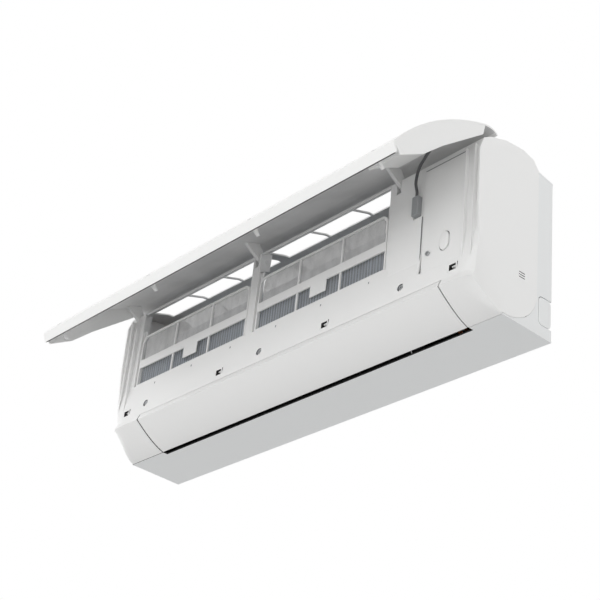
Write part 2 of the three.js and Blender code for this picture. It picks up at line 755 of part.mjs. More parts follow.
/** The outer lines of the three fin blocks, each with its depth: lower front, upper front, rear. */
function finLines() {
  return [
    [[[-COIL_FACE, COIL_KNEE - SEAT], [-COIL_FACE, COIL_BOTTOM]], COIL_DEPTH],
    [[APEX, [-COIL_FACE, COIL_KNEE + 8]], COIL_DEPTH],
    [COIL_REAR.map(([y, drop]) => [y, HEIGHT - drop]), COIL_REAR_DEPTH],
  ];
}

/** The outlines of the three fin blocks, the upper one cut level where it meets the lower. */
function finOutlines() {
  const [lower, upper, rear] = finLines().map(([line, depth]) => strip(line, depth));
  const knee = COIL_KNEE + SEAT;
  return [lower, [upper[0], upper[1], [-COIL_FACE, knee], [-COIL_FACE + COIL_DEPTH, knee], upper[3]], rear];
}

/** One fin block between the end plates. */
function finBlock(name, shape) {
  const inset = END_PLATE + 2 * SEAT;
  return piece(name, alongX(shape, [DUCT[0] + inset, DUCT[1] - inset]), FIN);
}

/** An end plate over all three blocks, with the copper return bends brazed into it. */
function endPlate(name, side) {
  const x = side < 0 ? DUCT[0] + SEAT : DUCT[1] - SEAT - END_PLATE;
  const span = [x, x + END_PLATE];
  const rear = COIL_REAR[1];
  const knee = [
    [-COIL_FACE, COIL_KNEE - 12],
    [-COIL_FACE, COIL_KNEE + 18],
    [-COIL_FACE + COIL_DEPTH, COIL_KNEE + 12],
    [-COIL_FACE + COIL_DEPTH, COIL_KNEE - 18],
  ];
  const crown = [
    [APEX[0] - 8, APEX[1] - 12],
    APEX,
    [rear[0], HEIGHT - rear[1]],
    [rear[0] + 4, HEIGHT - rear[1] - 12],
    [APEX[0] + 14, APEX[1] - 22],
  ];
  const bracket = [
    [-COIL_FACE + COIL_DEPTH - 2, 96],
    [-96, 96],
    [-96, 118],
    [-COIL_FACE + COIL_DEPTH - 2, 118],
  ];
  const sheets = [...finOutlines(), knee, crown, bracket].map((shape) => alongX(shape, span));
  return piece(name, join(...sheets, ...returnBends(side, side < 0 ? span[0] : span[1])), COPPER);
}

/** The hairpin bends along the middle of each fin block, outside the end plate. */
function returnBends(side, x) {
  return finLines().flatMap(([line, depth]) => {
    const [from, to] = beside(line, depth / 2);
    const length = Math.hypot(to[0] - from[0], to[1] - from[1]);
    const count = Math.round(length / (2 * BEND_PITCH));
    return Array.from({ length: count }, (_, i) => {
      const ends = [0.6, 1.4].map((step) => {
        const share = (i * 2 + step) / (count * 2);
        return [between([from[0], to[0]], share), between([from[1], to[1]], share)];
      });
      return hairpin(x, side, ends);
    });
  });
}

/** One bent tube between two tube ends, standing out along X. */
function hairpin(x, side, [a, b]) {
  const stations = [[0, -0.8], [0, 3], [0.18, 7.2], [0.5, 9], [0.82, 7.2], [1, 3], [1, -0.8]];
  const points = stations.map(([share, out]) =>
    [x + side * out, between([a[0], b[0]], share), between([a[1], b[1]], share)]);
  return tube(points, BEND_R, 6, 6);
}

/** The tray under the lower fin block, whose underside is the roof of the outlet. */
function drainPan() {
  const span = [DUCT[0] + SEAT, DUCT[1] - SEAT];
  const front = -FRONT + 2 * WALL + SEAT;
  const rear = -COIL_FACE + COIL_DEPTH + PAN_TO_COIL;
  const floor = [[rear, 94], [rear, 76], [front, 62], [front, 79]];
  const middle = beside(floor, WALL / 2);
  const end = [[middle[0][0], 81], middle[1], middle[2], [middle[3][0], 78]];
  const body = join(
    alongX(strip(floor, WALL), span),
    alongX(end, [span[0] + SEAT, span[0] + WALL]),
    alongX(end, [span[1] - WALL, span[1] - SEAT]),
    barX(SPOUT_R, [span[1] - 1, span[1] + 16], SPOUT, 14),
  );
  const bore = barX(SPOUT_R - SPOUT_WALL, [span[1] - 4, span[1] + 18], SPOUT, 14);
  return piece('drain_pan', cut(body, bore), BASE_WHITE);
}

// ---------------------------------------------------------------- pipes

const PIPE_PLANE = RIGHT - E_COVER[0] - 8;
const PIPE_DEPTH = -CHANNEL_DEPTH + 10.5; // of the pipes in the channel

/** A copper pipe from the coil's right end, round the motor and along the channel. */
function pipe(name, radius, start, low, end) {
  const x = DUCT[1] + SEAT;
  const points = [
    [x, COIL_MIDDLE, start],
    [x + 20, COIL_MIDDLE, start],
    [PIPE_PLANE - 14, COIL_MIDDLE, start],
    [PIPE_PLANE - 3, COIL_MIDDLE + 4, start - 1],
    [PIPE_PLANE, COIL_MIDDLE + 15, start - 3],
    [PIPE_PLANE, -84, between([start, low], 0.3)],
    [PIPE_PLANE, -56, between([start, low], 0.78)],
    [PIPE_PLANE, -40, low + 3],
    [PIPE_PLANE - 3, PIPE_DEPTH - 5, low],
    [PIPE_PLANE - 14, PIPE_DEPTH, low],
    [PIPE_PLANE - 60, PIPE_DEPTH, low],
    [end + 20, PIPE_DEPTH, low],
    [end, PIPE_DEPTH, low],
  ];
  return piece(name, tube(points, radius, PIPE_STEPS), COPPER);
}

/** The flare nut near a pipe's end. */
function flareNut(name, radius, nutRadius, low, end) {
  const span = [end + 4, end + 22];
  const at = [PIPE_DEPTH, low];
  const bore = barX(radius + SEAT, [span[0] - 1, span[1] + 1], at, 12);
  return piece(name, cut(barX(nutRadius, span, at, 6), bore), BRASS);
}

// ---------------------------------------------------------------- blower

const WHEEL_SPAN = [DUCT[0] + WHEEL_END_GAP, DUCT[1] - WHEEL_END_GAP];

/** The cross-flow wheel: discs along its length, joined by curved blades. */
function blowerWheel() {
  const [y, z] = WHEEL_CENTRE;
  const discs = Array.from({ length: WHEEL_DISCS }, (_, i) => {
    const x = between([WHEEL_SPAN[0], WHEEL_SPAN[1] - 3], i / (WHEEL_DISCS - 1));
    const disc = barX(WHEEL_R, [x, x + 3], WHEEL_CENTRE, 32);
    const open = i > 0 && i < WHEEL_DISCS - 1;
    return open ? cut(disc, barX(WHEEL_R - 15, [x - 1, x + 4], WHEEL_CENTRE, 22)) : disc;
  });
  const blade = [[-1.6, WHEEL_R - 13], [1.8, WHEEL_R - 7], [2.6, WHEEL_R - 1], [1.4, WHEEL_R - 1],
    [0.6, WHEEL_R - 7], [-2.8, WHEEL_R - 13]];
  const blades = Array.from({ length: WHEEL_BLADES }, (_, i) => {
    const angle = (i * Math.PI * 2) / WHEEL_BLADES;
    const [c, q] = [Math.cos(angle), Math.sin(angle)];
    const turn = ([a, b]) => [y + a * c - b * q, z + a * q + b * c];
    return alongX(blade.map(turn), [WHEEL_SPAN[0] + 1, WHEEL_SPAN[1] - 1]);
  });
  const stub = barX(SHAFT_R, [DUCT[0] - WALL - 2, WHEEL_SPAN[0] + 1], WHEEL_CENTRE, 12);
  const hub = barX(HUB[0], [WHEEL_SPAN[1] - HUB[1], WHEEL_SPAN[1]], WHEEL_CENTRE, 16);
  const bore = barX(SHAFT_R + SEAT, [WHEEL_SPAN[1] - HUB[1] + 2, WHEEL_SPAN[1] + 1], WHEEL_CENTRE, 12);
  return piece('blower_wheel', cut(join(...discs, ...blades, stub, hub), bore), DARK);
}

/** The motor's shaft, which the wheel's hub is clamped on. */
function motorShaft() {
  const span = [WHEEL_SPAN[1] - HUB[1] + 2 + SEAT, MOTOR_SPAN[1] - 8];
  return piece('motor_shaft', barX(SHAFT_R, span, WHEEL_CENTRE, 12), STEEL);
}

/** The rubber bearing in the left duct wall. */
function leftBearing() {
  const x = [DUCT[0] - WALL - 2, DUCT[0] + 1.5];
  const profile = [
    [SHAFT_R + SEAT, x[0]],
    [14, x[0]],
    [14, DUCT[0] - WALL - SEAT],
    [11 - SEAT, DUCT[0] - WALL - SEAT],
    [11 - SEAT, x[1]],
    [SHAFT_R + SEAT, x[1]],
    [SHAFT_R + SEAT, x[0]],
  ];
  return piece('wheel_bearing', latheX(profile, WHEEL_CENTRE, 20), DARK);
}

/** The blower motor, with a blind bore for its shaft. */
function motor() {
  const [x0, x1] = MOTOR_SPAN;
  const profile = [
    [0, x1],
    [14, x1],
    [14, x1 - 5],
    [MOTOR_R - 4, x1 - 5],
    [MOTOR_R, x1 - 9],
    [MOTOR_R, x0 + 9],
    [MOTOR_R - 4, x0 + 5],
    [14, x0 + 5],
    [14, x0],
    [SHAFT_R + SEAT, x0],
    [SHAFT_R + SEAT, x1 - 7],
    [0, x1 - 7],
  ];
  return piece('blower_motor', latheX(profile, WHEEL_CENTRE, 28), STEEL);
}

/** The strap over the motor. */
function motorClamp() {
  const [y, z] = WHEEL_CENTRE;
  const inner = MOTOR_R + SEAT;
  const foot = z - MOTOR_R * 0.55 + SEAT;
  const span = [MOTOR_SPAN[0] + 5, MOTOR_SPAN[0] + 17];
  const strap = alongX(strip(arc([y, z], inner, 0, 180, 16), -2), span);
  const legs = [y - inner - 1.8, y + inner + 0.2].map((at) => box(span, [at + 1.6, at], [foot + 1, z + 1]));
  const feet = [[y - inner + 8, y - inner - 2], [y + inner + 2, y + inner - 8]].map((depths) =>
    box(span, depths, [foot, foot + 2]));
  const hollow = barX(inner, [span[0] - 1, span[1] + 1], WHEEL_CENTRE, 32);
  return piece('motor_clamp', cut(join(strap, ...legs, ...feet), hollow), GREY);
}

// ---------------------------------------------------------------- outlet

const MOTOR_SEAT = LOUVER_SPAN[1] + WALL + SEAT;

/** The louver: a curved flap with an ear and a pin at each end. */
function louver() {
  const span = [LOUVER_SPAN[0] + LOUVER_SIDE_GAP, LOUVER_SPAN[1] - LOUVER_SIDE_GAP];
  const line = louverLine().map(([y, z], i) => (i === 0 ? [y - 0.6, z - SEAT - 0.5] : [y, z]));
  const flap = alongX(strip(line, LOUVER_WALL), span);
  const [y, z] = LOUVER_PIVOT;
  const ear = [[y - 14, z + 4], [y - 16, 13.5], [y + 4, 4.5], [y + 6, z - 4], [y + 3, z + 6], [y - 6, z + 8]];
  const ears = [[span[0], span[0] + 4], [span[1] - 4, span[1]]].map((x) => alongX(ear, x));
  const pins = [
    barX(LOUVER_PIN_R, [LOUVER_SPAN[0] - WALL - 1, span[0] + 2], LOUVER_PIVOT, 12),
    barX(LOUVER_PIN_R, [span[1] - 2, MOTOR_SEAT + 4], LOUVER_PIVOT, 12),
  ];
  return piece('louver', join(flap, ...ears, ...pins), WHITE);
}

/** The stepping motor that turns the louver. */
function louverMotor() {
  const span = [MOTOR_SEAT, MOTOR_SEAT + LOUVER_MOTOR[1]];
  const [y, z] = LOUVER_PIVOT;
  const flange = box([span[0], span[0] + 2], [y + 14, y - 14], [z - 4, z + 4]);
  const body = join(barX(LOUVER_MOTOR[0], span, LOUVER_PIVOT, 20), flange);
  const bore = barX(LOUVER_PIN_R + SEAT, [span[0] - 1, span[0] + 5], LOUVER_PIVOT, 12);
  return piece('louver_motor', cut(body, bore), STEEL);
}

/** The places of the upright vanes along each half of the duct. */
function vaneStations() {
  const halves = [[DUCT[0] + 4, BAY_MIDDLE], [BAY_MIDDLE, DUCT[1] - 4]];
  return halves.map((span) =>
    Array.from({ length: VANES_PER_BANK }, (_, i) => between(span, (i + 0.5) / VANES_PER_BANK)));
}

/** A frame at a vane's pivot: its Y runs with the air, its Z across the duct to the curved wall. */
function vaneFrame(x) {
  const frame = new THREE.Group();
  frame.position.set(x, ...VANE_CENTRE);
  frame.rotation.x = THREE.MathUtils.degToRad(180 + VANE_TILT);
  frame.updateMatrixWorld(true);
  return frame;
}

/** A round bar along a vane frame's Z. */
function vaneBar(radius, y, [z0, z1], sides = 12) {
  const geometry = new THREE.CylinderGeometry(radius, radius, z1 - z0, sides);
  geometry.rotateX(Math.PI / 2);
  geometry.translate(0, y, (z0 + z1) / 2);
  return geometry;
}

/** Bosses on the curved wall that the vanes' pins turn in. */
function vaneBosses() {
  return vaneStations().flat().map((x) =>
    solid(vaneBar(VANE_BOSS_R, 0, VANE_BOSS).applyMatrix4(vaneFrame(x).matrixWorld)));
}

/** The bores in those bosses. */
function vaneBores() {
  const span = [VANE_BOSS[0] - 1, VANE_PIN_END + SEAT];
  return vaneStations().flat().map((x) =>
    solid(vaneBar(VANE_PIN_R + SEAT, 0, span).applyMatrix4(vaneFrame(x).matrixWorld)));
}

/** One upright vane with its pivot pin and the pin that its link moves. */
function vane(name, x) {
  const [chord, across, thick] = VANE_SIZE;
  const body = join(
    solid(new THREE.BoxGeometry(thick, chord, across)),
    solid(vaneBar(VANE_PIN_R, 0, [across / 2 - 3, VANE_PIN_END])),
    solid(vaneBar(LINK_PIN_R, -LINK_PIN_AT, [-across / 2 - 5.5, -across / 2 + 3])),
  );
  const frame = vaneFrame(x);
  frame.add(piece(name, body, DARK));
  return frame;
}

/** The bar that moves a bank of vanes together, with a slot for each vane's pin. */
function vaneLink(name, stations) {
  const middle = (stations[0] + stations[stations.length - 1]) / 2;
  const length = stations[stations.length - 1] - stations[0] + 14;
  const top = -VANE_SIZE[1] / 2 - 1;
  const bar = new THREE.BoxGeometry(length, LINK_SIZE[0], LINK_SIZE[1]);
  bar.translate(0, -LINK_PIN_AT, top - LINK_SIZE[1] / 2);
  const slots = stations.map((x) => {
    const slot = new THREE.BoxGeometry(2 * (LINK_PIN_R + 0.5), 2 * LINK_PIN_R + 1.8, LINK_SIZE[1] + 2);
    slot.translate(x - middle, -LINK_PIN_AT + 0.4, top - LINK_SIZE[1] / 2);
    return solid(slot);
  });
  const frame = vaneFrame(middle);
  frame.add(piece(name, cut(solid(bar), ...slots), DARK));
  return frame;
}

// ---------------------------------------------------------------- filters

/** A filter's frame: bars round six cells, with a pull tab on the middle band. */
function filterFrame(name, window) {
  const span = filterSpan(window);
  const z0 = FILTER_BOTTOM;
  const z1 = z0 + FILTER_HEIGHT;
  const r = FILTER_CORNER_R;
  const edge = [
    [span[0], z0],
    [span[1], z0],
    ...arc([span[1] - r, z1 - r], r, 0, 90, 5),
    ...arc([span[0] + r, z1 - r], r, 90, 180, 5),
  ];
  const rows = [[z0 + FILTER_RAIL, z0 + FILTER_BAND[0]], [z0 + FILTER_BAND[1], z1 - FILTER_RAIL]];
  const cells = [];
  for (let i = 0; i < FILTER_COLUMNS; i += 1) {
    const left = between(span, i / FILTER_COLUMNS) + (i === 0 ? FILTER_RAIL : FILTER_RAIL / 2);
    const rightRail = i === FILTER_COLUMNS - 1 ? FILTER_RAIL : FILTER_RAIL / 2;
    const right = between(span, (i + 1) / FILTER_COLUMNS) - rightRail;
    rows.forEach(([low, high], row) => {
      const rounded = row === 1 && i === 0;
      const upperLeft = rounded ? arc([left + r - 2, high - r + 2], r - 2, 180, 90, 4) : [[left, high]];
      const upperRight = row === 1 && i === FILTER_COLUMNS - 1
        ? arc([right - r + 2, high - r + 2], r - 2, 90, 0, 4)
        : [[right, high]];
      cells.push([[left, low], ...upperLeft, ...upperRight, [right, low]]);
    });
  }
  const tabSpan = [between(span, 0.5) - TAB_SIZE[0] / 2, between(span, 0.5) + TAB_SIZE[0] / 2];
  const tabRise = [z0 + FILTER_BAND[0] - TAB_SIZE[1], z0 + FILTER_BAND[0] + 2];
  const tab = box(tabSpan, [FILTER_FRONT, FILTER_FRONT + 2], tabRise);
  const holes = cells.map((cell) => forward(cell, FILTER_BACK + 1, FILTER_THICKNESS + 2));
  return piece(name, join(cut(forward(edge, FILTER_BACK, FILTER_THICKNESS), ...holes), tab), WHITE);
}

/** The fine net welded behind a filter's frame. */
function filterNet(name, window) {
  const [x0, x1] = filterSpan(window);
  const edge = roundRect(
    [x0 + 8, x1 - 8],
    [FILTER_BOTTOM + 2, FILTER_BOTTOM + FILTER_HEIGHT - 2],
    FILTER_CORNER_R - 4,
  );
  return piece(name, forward(edge, FILTER_BACK + SEAT + NET_THICKNESS, NET_THICKNESS), NET_GREY);
}

// ---------------------------------------------------------------- electrical box

const COVER_SPAN = [RIGHT - E_COVER[0], RIGHT - E_COVER[1]];
const COVER_HEIGHTS = [E_COVER_HEIGHTS[0], HEIGHT - E_COVER_HEIGHTS[1]];
const COVER_FACE = -FRONT - 1.5;
const BOX_SPAN = [COVER_SPAN[0] + 3, COVER_SPAN[1] - 3];
const BOX_HEIGHTS = [COVER_HEIGHTS[0] + 3, COVER_HEIGHTS[1] - 3];
const BOX_FRONT = COVER_FACE + E_COVER_WALL + SEAT;
const BOX_BACK = -FRONT + 1 + E_BOX_DEPTH;
const COVER_SCREW = [COVER_SPAN[0] + 14, COVER_HEIGHTS[0] + 29.5];
const STANDOFF = 8;

/** The open-fronted box behind the service cover, with its board's posts. */
function eBox() {
  const inner = [BOX_SPAN[0] + E_BOX_WALL, BOX_SPAN[1] - E_BOX_WALL];
  const heights = [BOX_HEIGHTS[0] + E_BOX_WALL, BOX_HEIGHTS[1] - E_BOX_WALL];
  const shell = cut(
    box(BOX_SPAN, [BOX_BACK, BOX_FRONT], BOX_HEIGHTS),
    box(inner, [BOX_BACK - E_BOX_WALL, BOX_FRONT - 5], heights),
    box([BOX_SPAN[0] - 1, inner[0] + 1], [BOX_FRONT + 24, BOX_FRONT + 8], [PLUG_TOP - 26, PLUG_TOP - 10]),
  );
  const posts = boardCorners().map((at) => barY(4, at, [BOX_BACK - 1, BOX_BACK - E_BOX_WALL - STANDOFF], 10));
  const [x, z] = COVER_SCREW;
  const boss = join(
    barY(4.5, COVER_SCREW, [BOX_FRONT + 22, BOX_FRONT], 14),
    box([BOX_SPAN[0] + 1, x], [BOX_FRONT + 22, BOX_FRONT], [z - 2, z + 2]),
  );
  const bore = barY(2.1, COVER_SCREW, [BOX_FRONT + 16, BOX_FRONT - 1], 10);
  return piece('electrical_box', cut(join(shell, ...posts, boss), bore), GREY);
}

/** The places of the posts under the control board's corners. */
function boardCorners() {
  const xs = [BOX_SPAN[0] + 9, BOX_SPAN[1] - 9];
  const zs = [BOX_HEIGHTS[0] + 9, BOX_HEIGHTS[0] + 104];
  return xs.flatMap((x) => zs.map((z) => [x, z]));
}

/** The service cover, with its screw hole and the button's opening. */
function serviceCover() {
  const sheet = box(COVER_SPAN, [COVER_FACE + E_COVER_WALL, COVER_FACE], COVER_HEIGHTS);
  const hole = barY(2.1, COVER_SCREW, [COVER_FACE + 6, COVER_FACE - 2], 10);
  const opening = forward(buttonOutline(BUTTON_CLEARANCE), COVER_FACE + 8, 12);
  return piece('service_cover', cut(sheet, hole, opening), WHITE);
}

/** The control board on its posts, with the larger parts that stand on it. */
function controlBoard() {
  const back = BOX_BACK - E_BOX_WALL - STANDOFF - SEAT;
  const face = back - 1.6;
  const span = [BOX_SPAN[0] + 5, BOX_SPAN[1] - 5];
  const [x, z] = [span[0], BOX_HEIGHTS[0] + 5];
  const body = join(
    box(span, [back, face], [z, z + 103]),
    barY(9, [x + 14, z + 22], [face + 0.5, face - 30], 16),
    box([x + 30, x + 45], [face + 0.5, face - 16], [z + 12, z + 32]),
    box([x + 10, x + 38], [face + 0.5, face - 22], [z + 46, z + 68]),
    box([x + 44, x + 58], [face + 0.5, face - 9], [z + 52, z + 92]),
    box([x + 12, x + 36], [face + 0.5, face - 10], [z + 80, z + 90]),
  );
  return piece('control_board', body, BOARD);
}

/** The terminal block for the supply, on the box's back above the board. */
function terminalBlock() {
  const back = BOX_BACK - E_BOX_WALL - SEAT;
  const span = [BOX_SPAN[0] + 8, BOX_SPAN[1] - 8];
  const z = BOX_HEIGHTS[1] - 38;
  const ribs = Array.from({ length: 5 }, (_, i) => {
    const x = between([span[0], span[1] - 2], i / 4);
    return box([x, x + 2], [back - 9, back - 20], [z, z + 24]);
  });
  return piece('terminal_block', join(box(span, [back, back - 10], [z, z + 24]), ...ribs), DARK);
}

/** The oval button that stands in the service cover. */
function manualButton() {
  const length = BUTTON_PROUD + E_COVER_WALL + 4;
  const back = COVER_FACE - BUTTON_PROUD + length;
  return piece('manual_button', forward(buttonOutline(0), back, length), WHITE);
}

/** A screw: a domed head, its back on a face at a depth, and a shank behind it. */
function screw(name, [x, z], seat, reach) {
  const head = barY(SCREW_HEAD_R, [x, z], [seat - SEAT, seat - SEAT - 2.4], 14);
  const shank = barY(1.7, [x, z], [seat + reach, seat - 1], 10);
  const slot = join(
    box([x - 2.4, x + 2.4], [seat - 1.6, seat - 4], [z - 0.5, z + 0.5]),
    box([x - 0.5, x + 0.5], [seat - 1.6, seat - 4], [z - 2.4, z + 2.4]),
  );
  return piece(name, cut(join(head, shank), slot), STEEL);
}

/** A panel catch in its socket in the lower band. */
function panelCatch(name, x) {
  const face = bandFace(CATCH_HEIGHT);
  const [w, h] = CATCH_SIZE.map((size) => size / 2);
  const shell = box([x - w, x + w], [face + CATCH_DEPTH, face - 0.5], [CATCH_HEIGHT - h, CATCH_HEIGHT + h]);
  const rise = [CATCH_HEIGHT - h + 2, CATCH_HEIGHT + h - 2];
  const hollow = box([x - w + 2.4, x + w - 2.4], [face + CATCH_DEPTH - 2, face - 1], rise);
  return piece(name, cut(shell, hollow), WHITE);
}

/** The manual button's oval outline, grown by a gap. */
function buttonOutline(gap) {
  const half = BUTTON_SIZE[0] / 2 + gap;
  const x = RIGHT - BUTTON_INSET;
  const tall = BUTTON_SIZE[1] / 2 + gap;
  return roundRect([x - half, x + half], [BUTTON_HEIGHT - tall, BUTTON_HEIGHT + tall], half - 0.5, 5);
}

// ---------------------------------------------------------------- front panel

const PANEL_FOOT = [-177, 56];
const PANEL_BULGE = [-205.5, 160];
const PANEL_SHOULDER = [-168, HEIGHT - 20];
const PANEL_TOP = [-148, HEIGHT - 2.5];
const PANEL_LIP = [-161.8, 51.3];
const PANEL_END_GAP = 0.5; // ends of the panel to the ends of the casing
const SKIRT_GAP = 0.8; // closed panel's skirts to the frame's cheeks
const DISPLAY_SPAN = [285, 388];
const DISPLAY_HEIGHTS = [150, 214];
const DISPLAY_DEPTH = 15;
const LEAD_R = 2.2;
const LEAD_STEPS = 26;

/** The closed panel's outer line, from its lower lip up to its top edge. */
function panelLine() {
  const corner = [-160, HEIGHT - 4];
  return [
    PANEL_LIP,
    ...bend(PANEL_FOOT, PANEL_BULGE, PANEL_SHOULDER, 12),
    ...bend(PANEL_SHOULDER, corner, PANEL_TOP, 4).slice(1),
  ];
}

/** The closed panel: a curved sheet with a lower lip, end skirts, hinge arms and prongs. */
function panel() {
  const span = [LEFT + PANEL_END_GAP, RIGHT - PANEL_END_GAP];
  const back = cheekLine().slice(1, -1).map(([y, z]) => [y - SKIRT_GAP, z]);
  const middle = beside(panelLine(), -PANEL_WALL / 2);
  const skirt = [...middle.slice(1, -4), [-154.8, 250], ...back, [-156.5, 58]];
  return join(
    alongX(strip(panelLine(), -PANEL_WALL), span),
    alongX(skirt, [span[0] + SEAT, span[0] + PANEL_WALL]),
    alongX(skirt, [span[1] - PANEL_WALL, span[1] - SEAT]),
    ...HINGE_X.map(hingeArm),
    ...CATCH_X.map(prong),
  );
}

/** An arm from the panel's inside to its pivot, with a pin that turns in the frame's ears. */
function hingeArm(x) {
  const [y, z] = PANEL_HINGE;
  const half = HINGE_ARM_WIDTH / 2;
  const arm = [[y - 2, z - 6], [y - 43.5, z - 20], [y - 36, z + 8], [y - 4, z + 5.5]];
  return join(
    alongX(arm, [x - half, x + half]),
    barX(6, [x - half, x + half], PANEL_HINGE, 16),
    barX(HINGE_PIN_R, [x - half - 5, x + half + 5], PANEL_HINGE, 12),
  );
}

/** A prong near the lower lip that snaps into a catch. */
function prong(x) {
  const z = CATCH_HEIGHT;
  const tip = bandFace(z) + 2.8;
  const heel = PANEL_FOOT[0] - 2;
  const shape = [[tip, z + 2], [tip, z - 2], [tip - 14, z - 7], [heel, z - 7], [heel - 0.5, z + 2]];
  return alongX(shape, [x - 1.5, x + 1.5]);
}

/** The display's housing on the panel's inner side. */
function displayHousing() {
  const inner = beside(panelLine(), -PANEL_WALL - SEAT);
  const slab = alongX(strip(inner.slice(2, -4), -DISPLAY_DEPTH), DISPLAY_SPAN);
  return slab.intersect(box(DISPLAY_SPAN, [-FRONT, -FRONT - 60], DISPLAY_HEIGHTS));
}

/** The turn of the panel from closed to the angle at which it stands. */
function panelFrame() {
  const frame = new THREE.Group();
  frame.position.set(0, ...PANEL_HINGE);
  frame.rotation.x = THREE.MathUtils.degToRad(-PANEL_OPEN);
  return frame;
}

/** A piece drawn in closed coordinates, moved so that the panel's hinge is its origin. */
function onPanel(name, body, look) {
  const mesh = piece(name, body, look);
  mesh.position.set(0, -PANEL_HINGE[0], -PANEL_HINGE[1]);
  return mesh;
}

/** The display's lead, hanging from the housing to its plug. */
function displayLead() {
  const x = (PLUG[0][0] + PLUG[0][1]) / 2;
  const depth = -FRONT - 5;
  const points = [
    [364, -186.3, 257.8],
    [364, -182.4, 260.9],
    [357, -180.5, 260.5],
    [344.5, -178.5, 257.5],
    [325, -171, 254.2],
    [308, -163, 251],
    [298, -157, 244],
    [x - 1, -154, 233],
    [x, depth, 222],
    [x, depth, PLUG_TOP + SEAT],
  ];
  return piece('display_lead', tube(points, LEAD_R, LEAD_STEPS), DARK);
}

/** The lead's plug in its notch beside the service cover. */
function leadPlug() {
  return piece('lead_plug', box(PLUG[0], [-FRONT + 5, -FRONT - 8], PLUG[1]), GREY);
}

// ---------------------------------------------------------------- assembly

const unit = new THREE.Group();
unit.add(
  wallPlate(),
  base(),
  knockOutCover('pipe_cover_left', END_WALLS[0]),
  knockOutCover('pipe_cover_right', END_WALLS[1]),
  frontFrame(),
  endPlate('coil_end_left', -1),
  endPlate('coil_end_right', 1),
  drainPan(),
  pipe('gas_pipe', GAS_R, GAS_START, GAS_LOW, PIPE_END),
  pipe('liquid_pipe', LIQUID_R, LIQUID_START, LIQUID_LOW, PIPE_END),
  flareNut('gas_nut', GAS_R, GAS_NUT_R, GAS_LOW, PIPE_END),
  flareNut('liquid_nut', LIQUID_R, LIQUID_NUT_R, LIQUID_LOW, PIPE_END),
  blowerWheel(),
  motorShaft(),
  leftBearing(),
  motor(),
  motorClamp(),
  louver(),
  louverMotor(),
  eBox(),
  serviceCover(),
  controlBoard(),
  terminalBlock(),
  manualButton(),
  screw('cover_screw', COVER_SCREW, COVER_FACE, 14),
  displayLead(),
  leadPlug(),
);

['coil_lower', 'coil_upper', 'coil_rear'].forEach((name, i) => unit.add(finBlock(name, finOutlines()[i])));

['left', 'right'].forEach((side, i) => {
  unit.add(filterFrame(`filter_frame_${side}`, WINDOWS[i]), filterNet(`filter_net_${side}`, WINDOWS[i]));
  const stations = vaneStations()[i];
  stations.forEach((x, k) => unit.add(vane(`vane_${side}_${k + 1}`, x)));
  unit.add(vaneLink(`vane_link_${side}`, stations));
});

CATCH_X.forEach((x, i) => unit.add(panelCatch(`panel_catch_${i + 1}`, x)));
SCREW_X.forEach((x, i) => {
  unit.add(screw(`frame_screw_${i + 1}`, [x, SCREW_HEIGHT], bandFace(SCREW_HEIGHT) + SCREW_DEPTH, 5));
});

const opened = panelFrame();
opened.add(
  onPanel('front_panel', panel(), WHITE),
  onPanel('display_housing', displayHousing(), WHITE),
);
unit.add(opened);
unit.position.z = -PLATE_MIDDLE;

export default unit;
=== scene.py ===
"""Looks of a wall-hung mini split indoor unit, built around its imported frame.

Lengths in the dataclass fields are millimetres, with z counted from the unit's underside, as a maker's
drawing has them. `place` turns them into the row frame's metres. Every finished mesh sits at the origin.
"""

import json
import logging
import math
from dataclasses import dataclass, field
from enum import Enum
from typing import Callable, Iterable, Sequence

import bmesh
import bpy
import numpy as np
from mathutils import Matrix, Vector

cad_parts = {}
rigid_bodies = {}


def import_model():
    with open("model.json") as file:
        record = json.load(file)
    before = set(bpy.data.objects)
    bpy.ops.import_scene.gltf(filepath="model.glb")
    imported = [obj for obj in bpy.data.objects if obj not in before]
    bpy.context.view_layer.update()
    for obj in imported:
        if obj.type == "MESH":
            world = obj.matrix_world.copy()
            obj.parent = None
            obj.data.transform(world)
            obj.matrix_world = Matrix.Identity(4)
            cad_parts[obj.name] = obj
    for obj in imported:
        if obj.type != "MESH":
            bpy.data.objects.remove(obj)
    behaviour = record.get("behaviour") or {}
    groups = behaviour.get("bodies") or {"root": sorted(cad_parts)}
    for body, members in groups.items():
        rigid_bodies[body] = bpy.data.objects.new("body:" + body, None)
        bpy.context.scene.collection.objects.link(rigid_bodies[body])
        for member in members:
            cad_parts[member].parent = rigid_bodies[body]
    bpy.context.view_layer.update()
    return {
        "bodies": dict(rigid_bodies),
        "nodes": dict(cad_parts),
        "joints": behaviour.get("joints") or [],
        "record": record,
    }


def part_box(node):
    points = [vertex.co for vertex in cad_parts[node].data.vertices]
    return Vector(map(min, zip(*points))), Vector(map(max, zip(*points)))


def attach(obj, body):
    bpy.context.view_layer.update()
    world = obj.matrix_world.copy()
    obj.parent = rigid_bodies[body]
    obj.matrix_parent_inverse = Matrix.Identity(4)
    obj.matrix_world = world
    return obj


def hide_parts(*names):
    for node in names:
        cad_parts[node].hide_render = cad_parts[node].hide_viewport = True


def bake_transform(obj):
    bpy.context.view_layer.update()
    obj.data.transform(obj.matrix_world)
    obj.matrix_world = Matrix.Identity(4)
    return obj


LOG = logging.getLogger("mini_split")
UNDERSIDE = 141.0  # the row frame's origin above the underside, mm
WIDTH = 835.0
LEFT, RIGHT = -WIDTH / 2, WIDTH / 2
HINGE = (-134.0, 252.0)  # the panel's pivot, y and z
PANEL_OPEN = 52.0  # degrees from closed to the rest pose
SHARP = 32.0  # degrees; edges that bend more stay sharp
FLAT = 0.4  # degrees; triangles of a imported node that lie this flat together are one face
LOOKS = 0.7  # a face looks along an axis where its normal's share there is more than this
LIES = 0.5  # and lies along the axis where the share is less than this

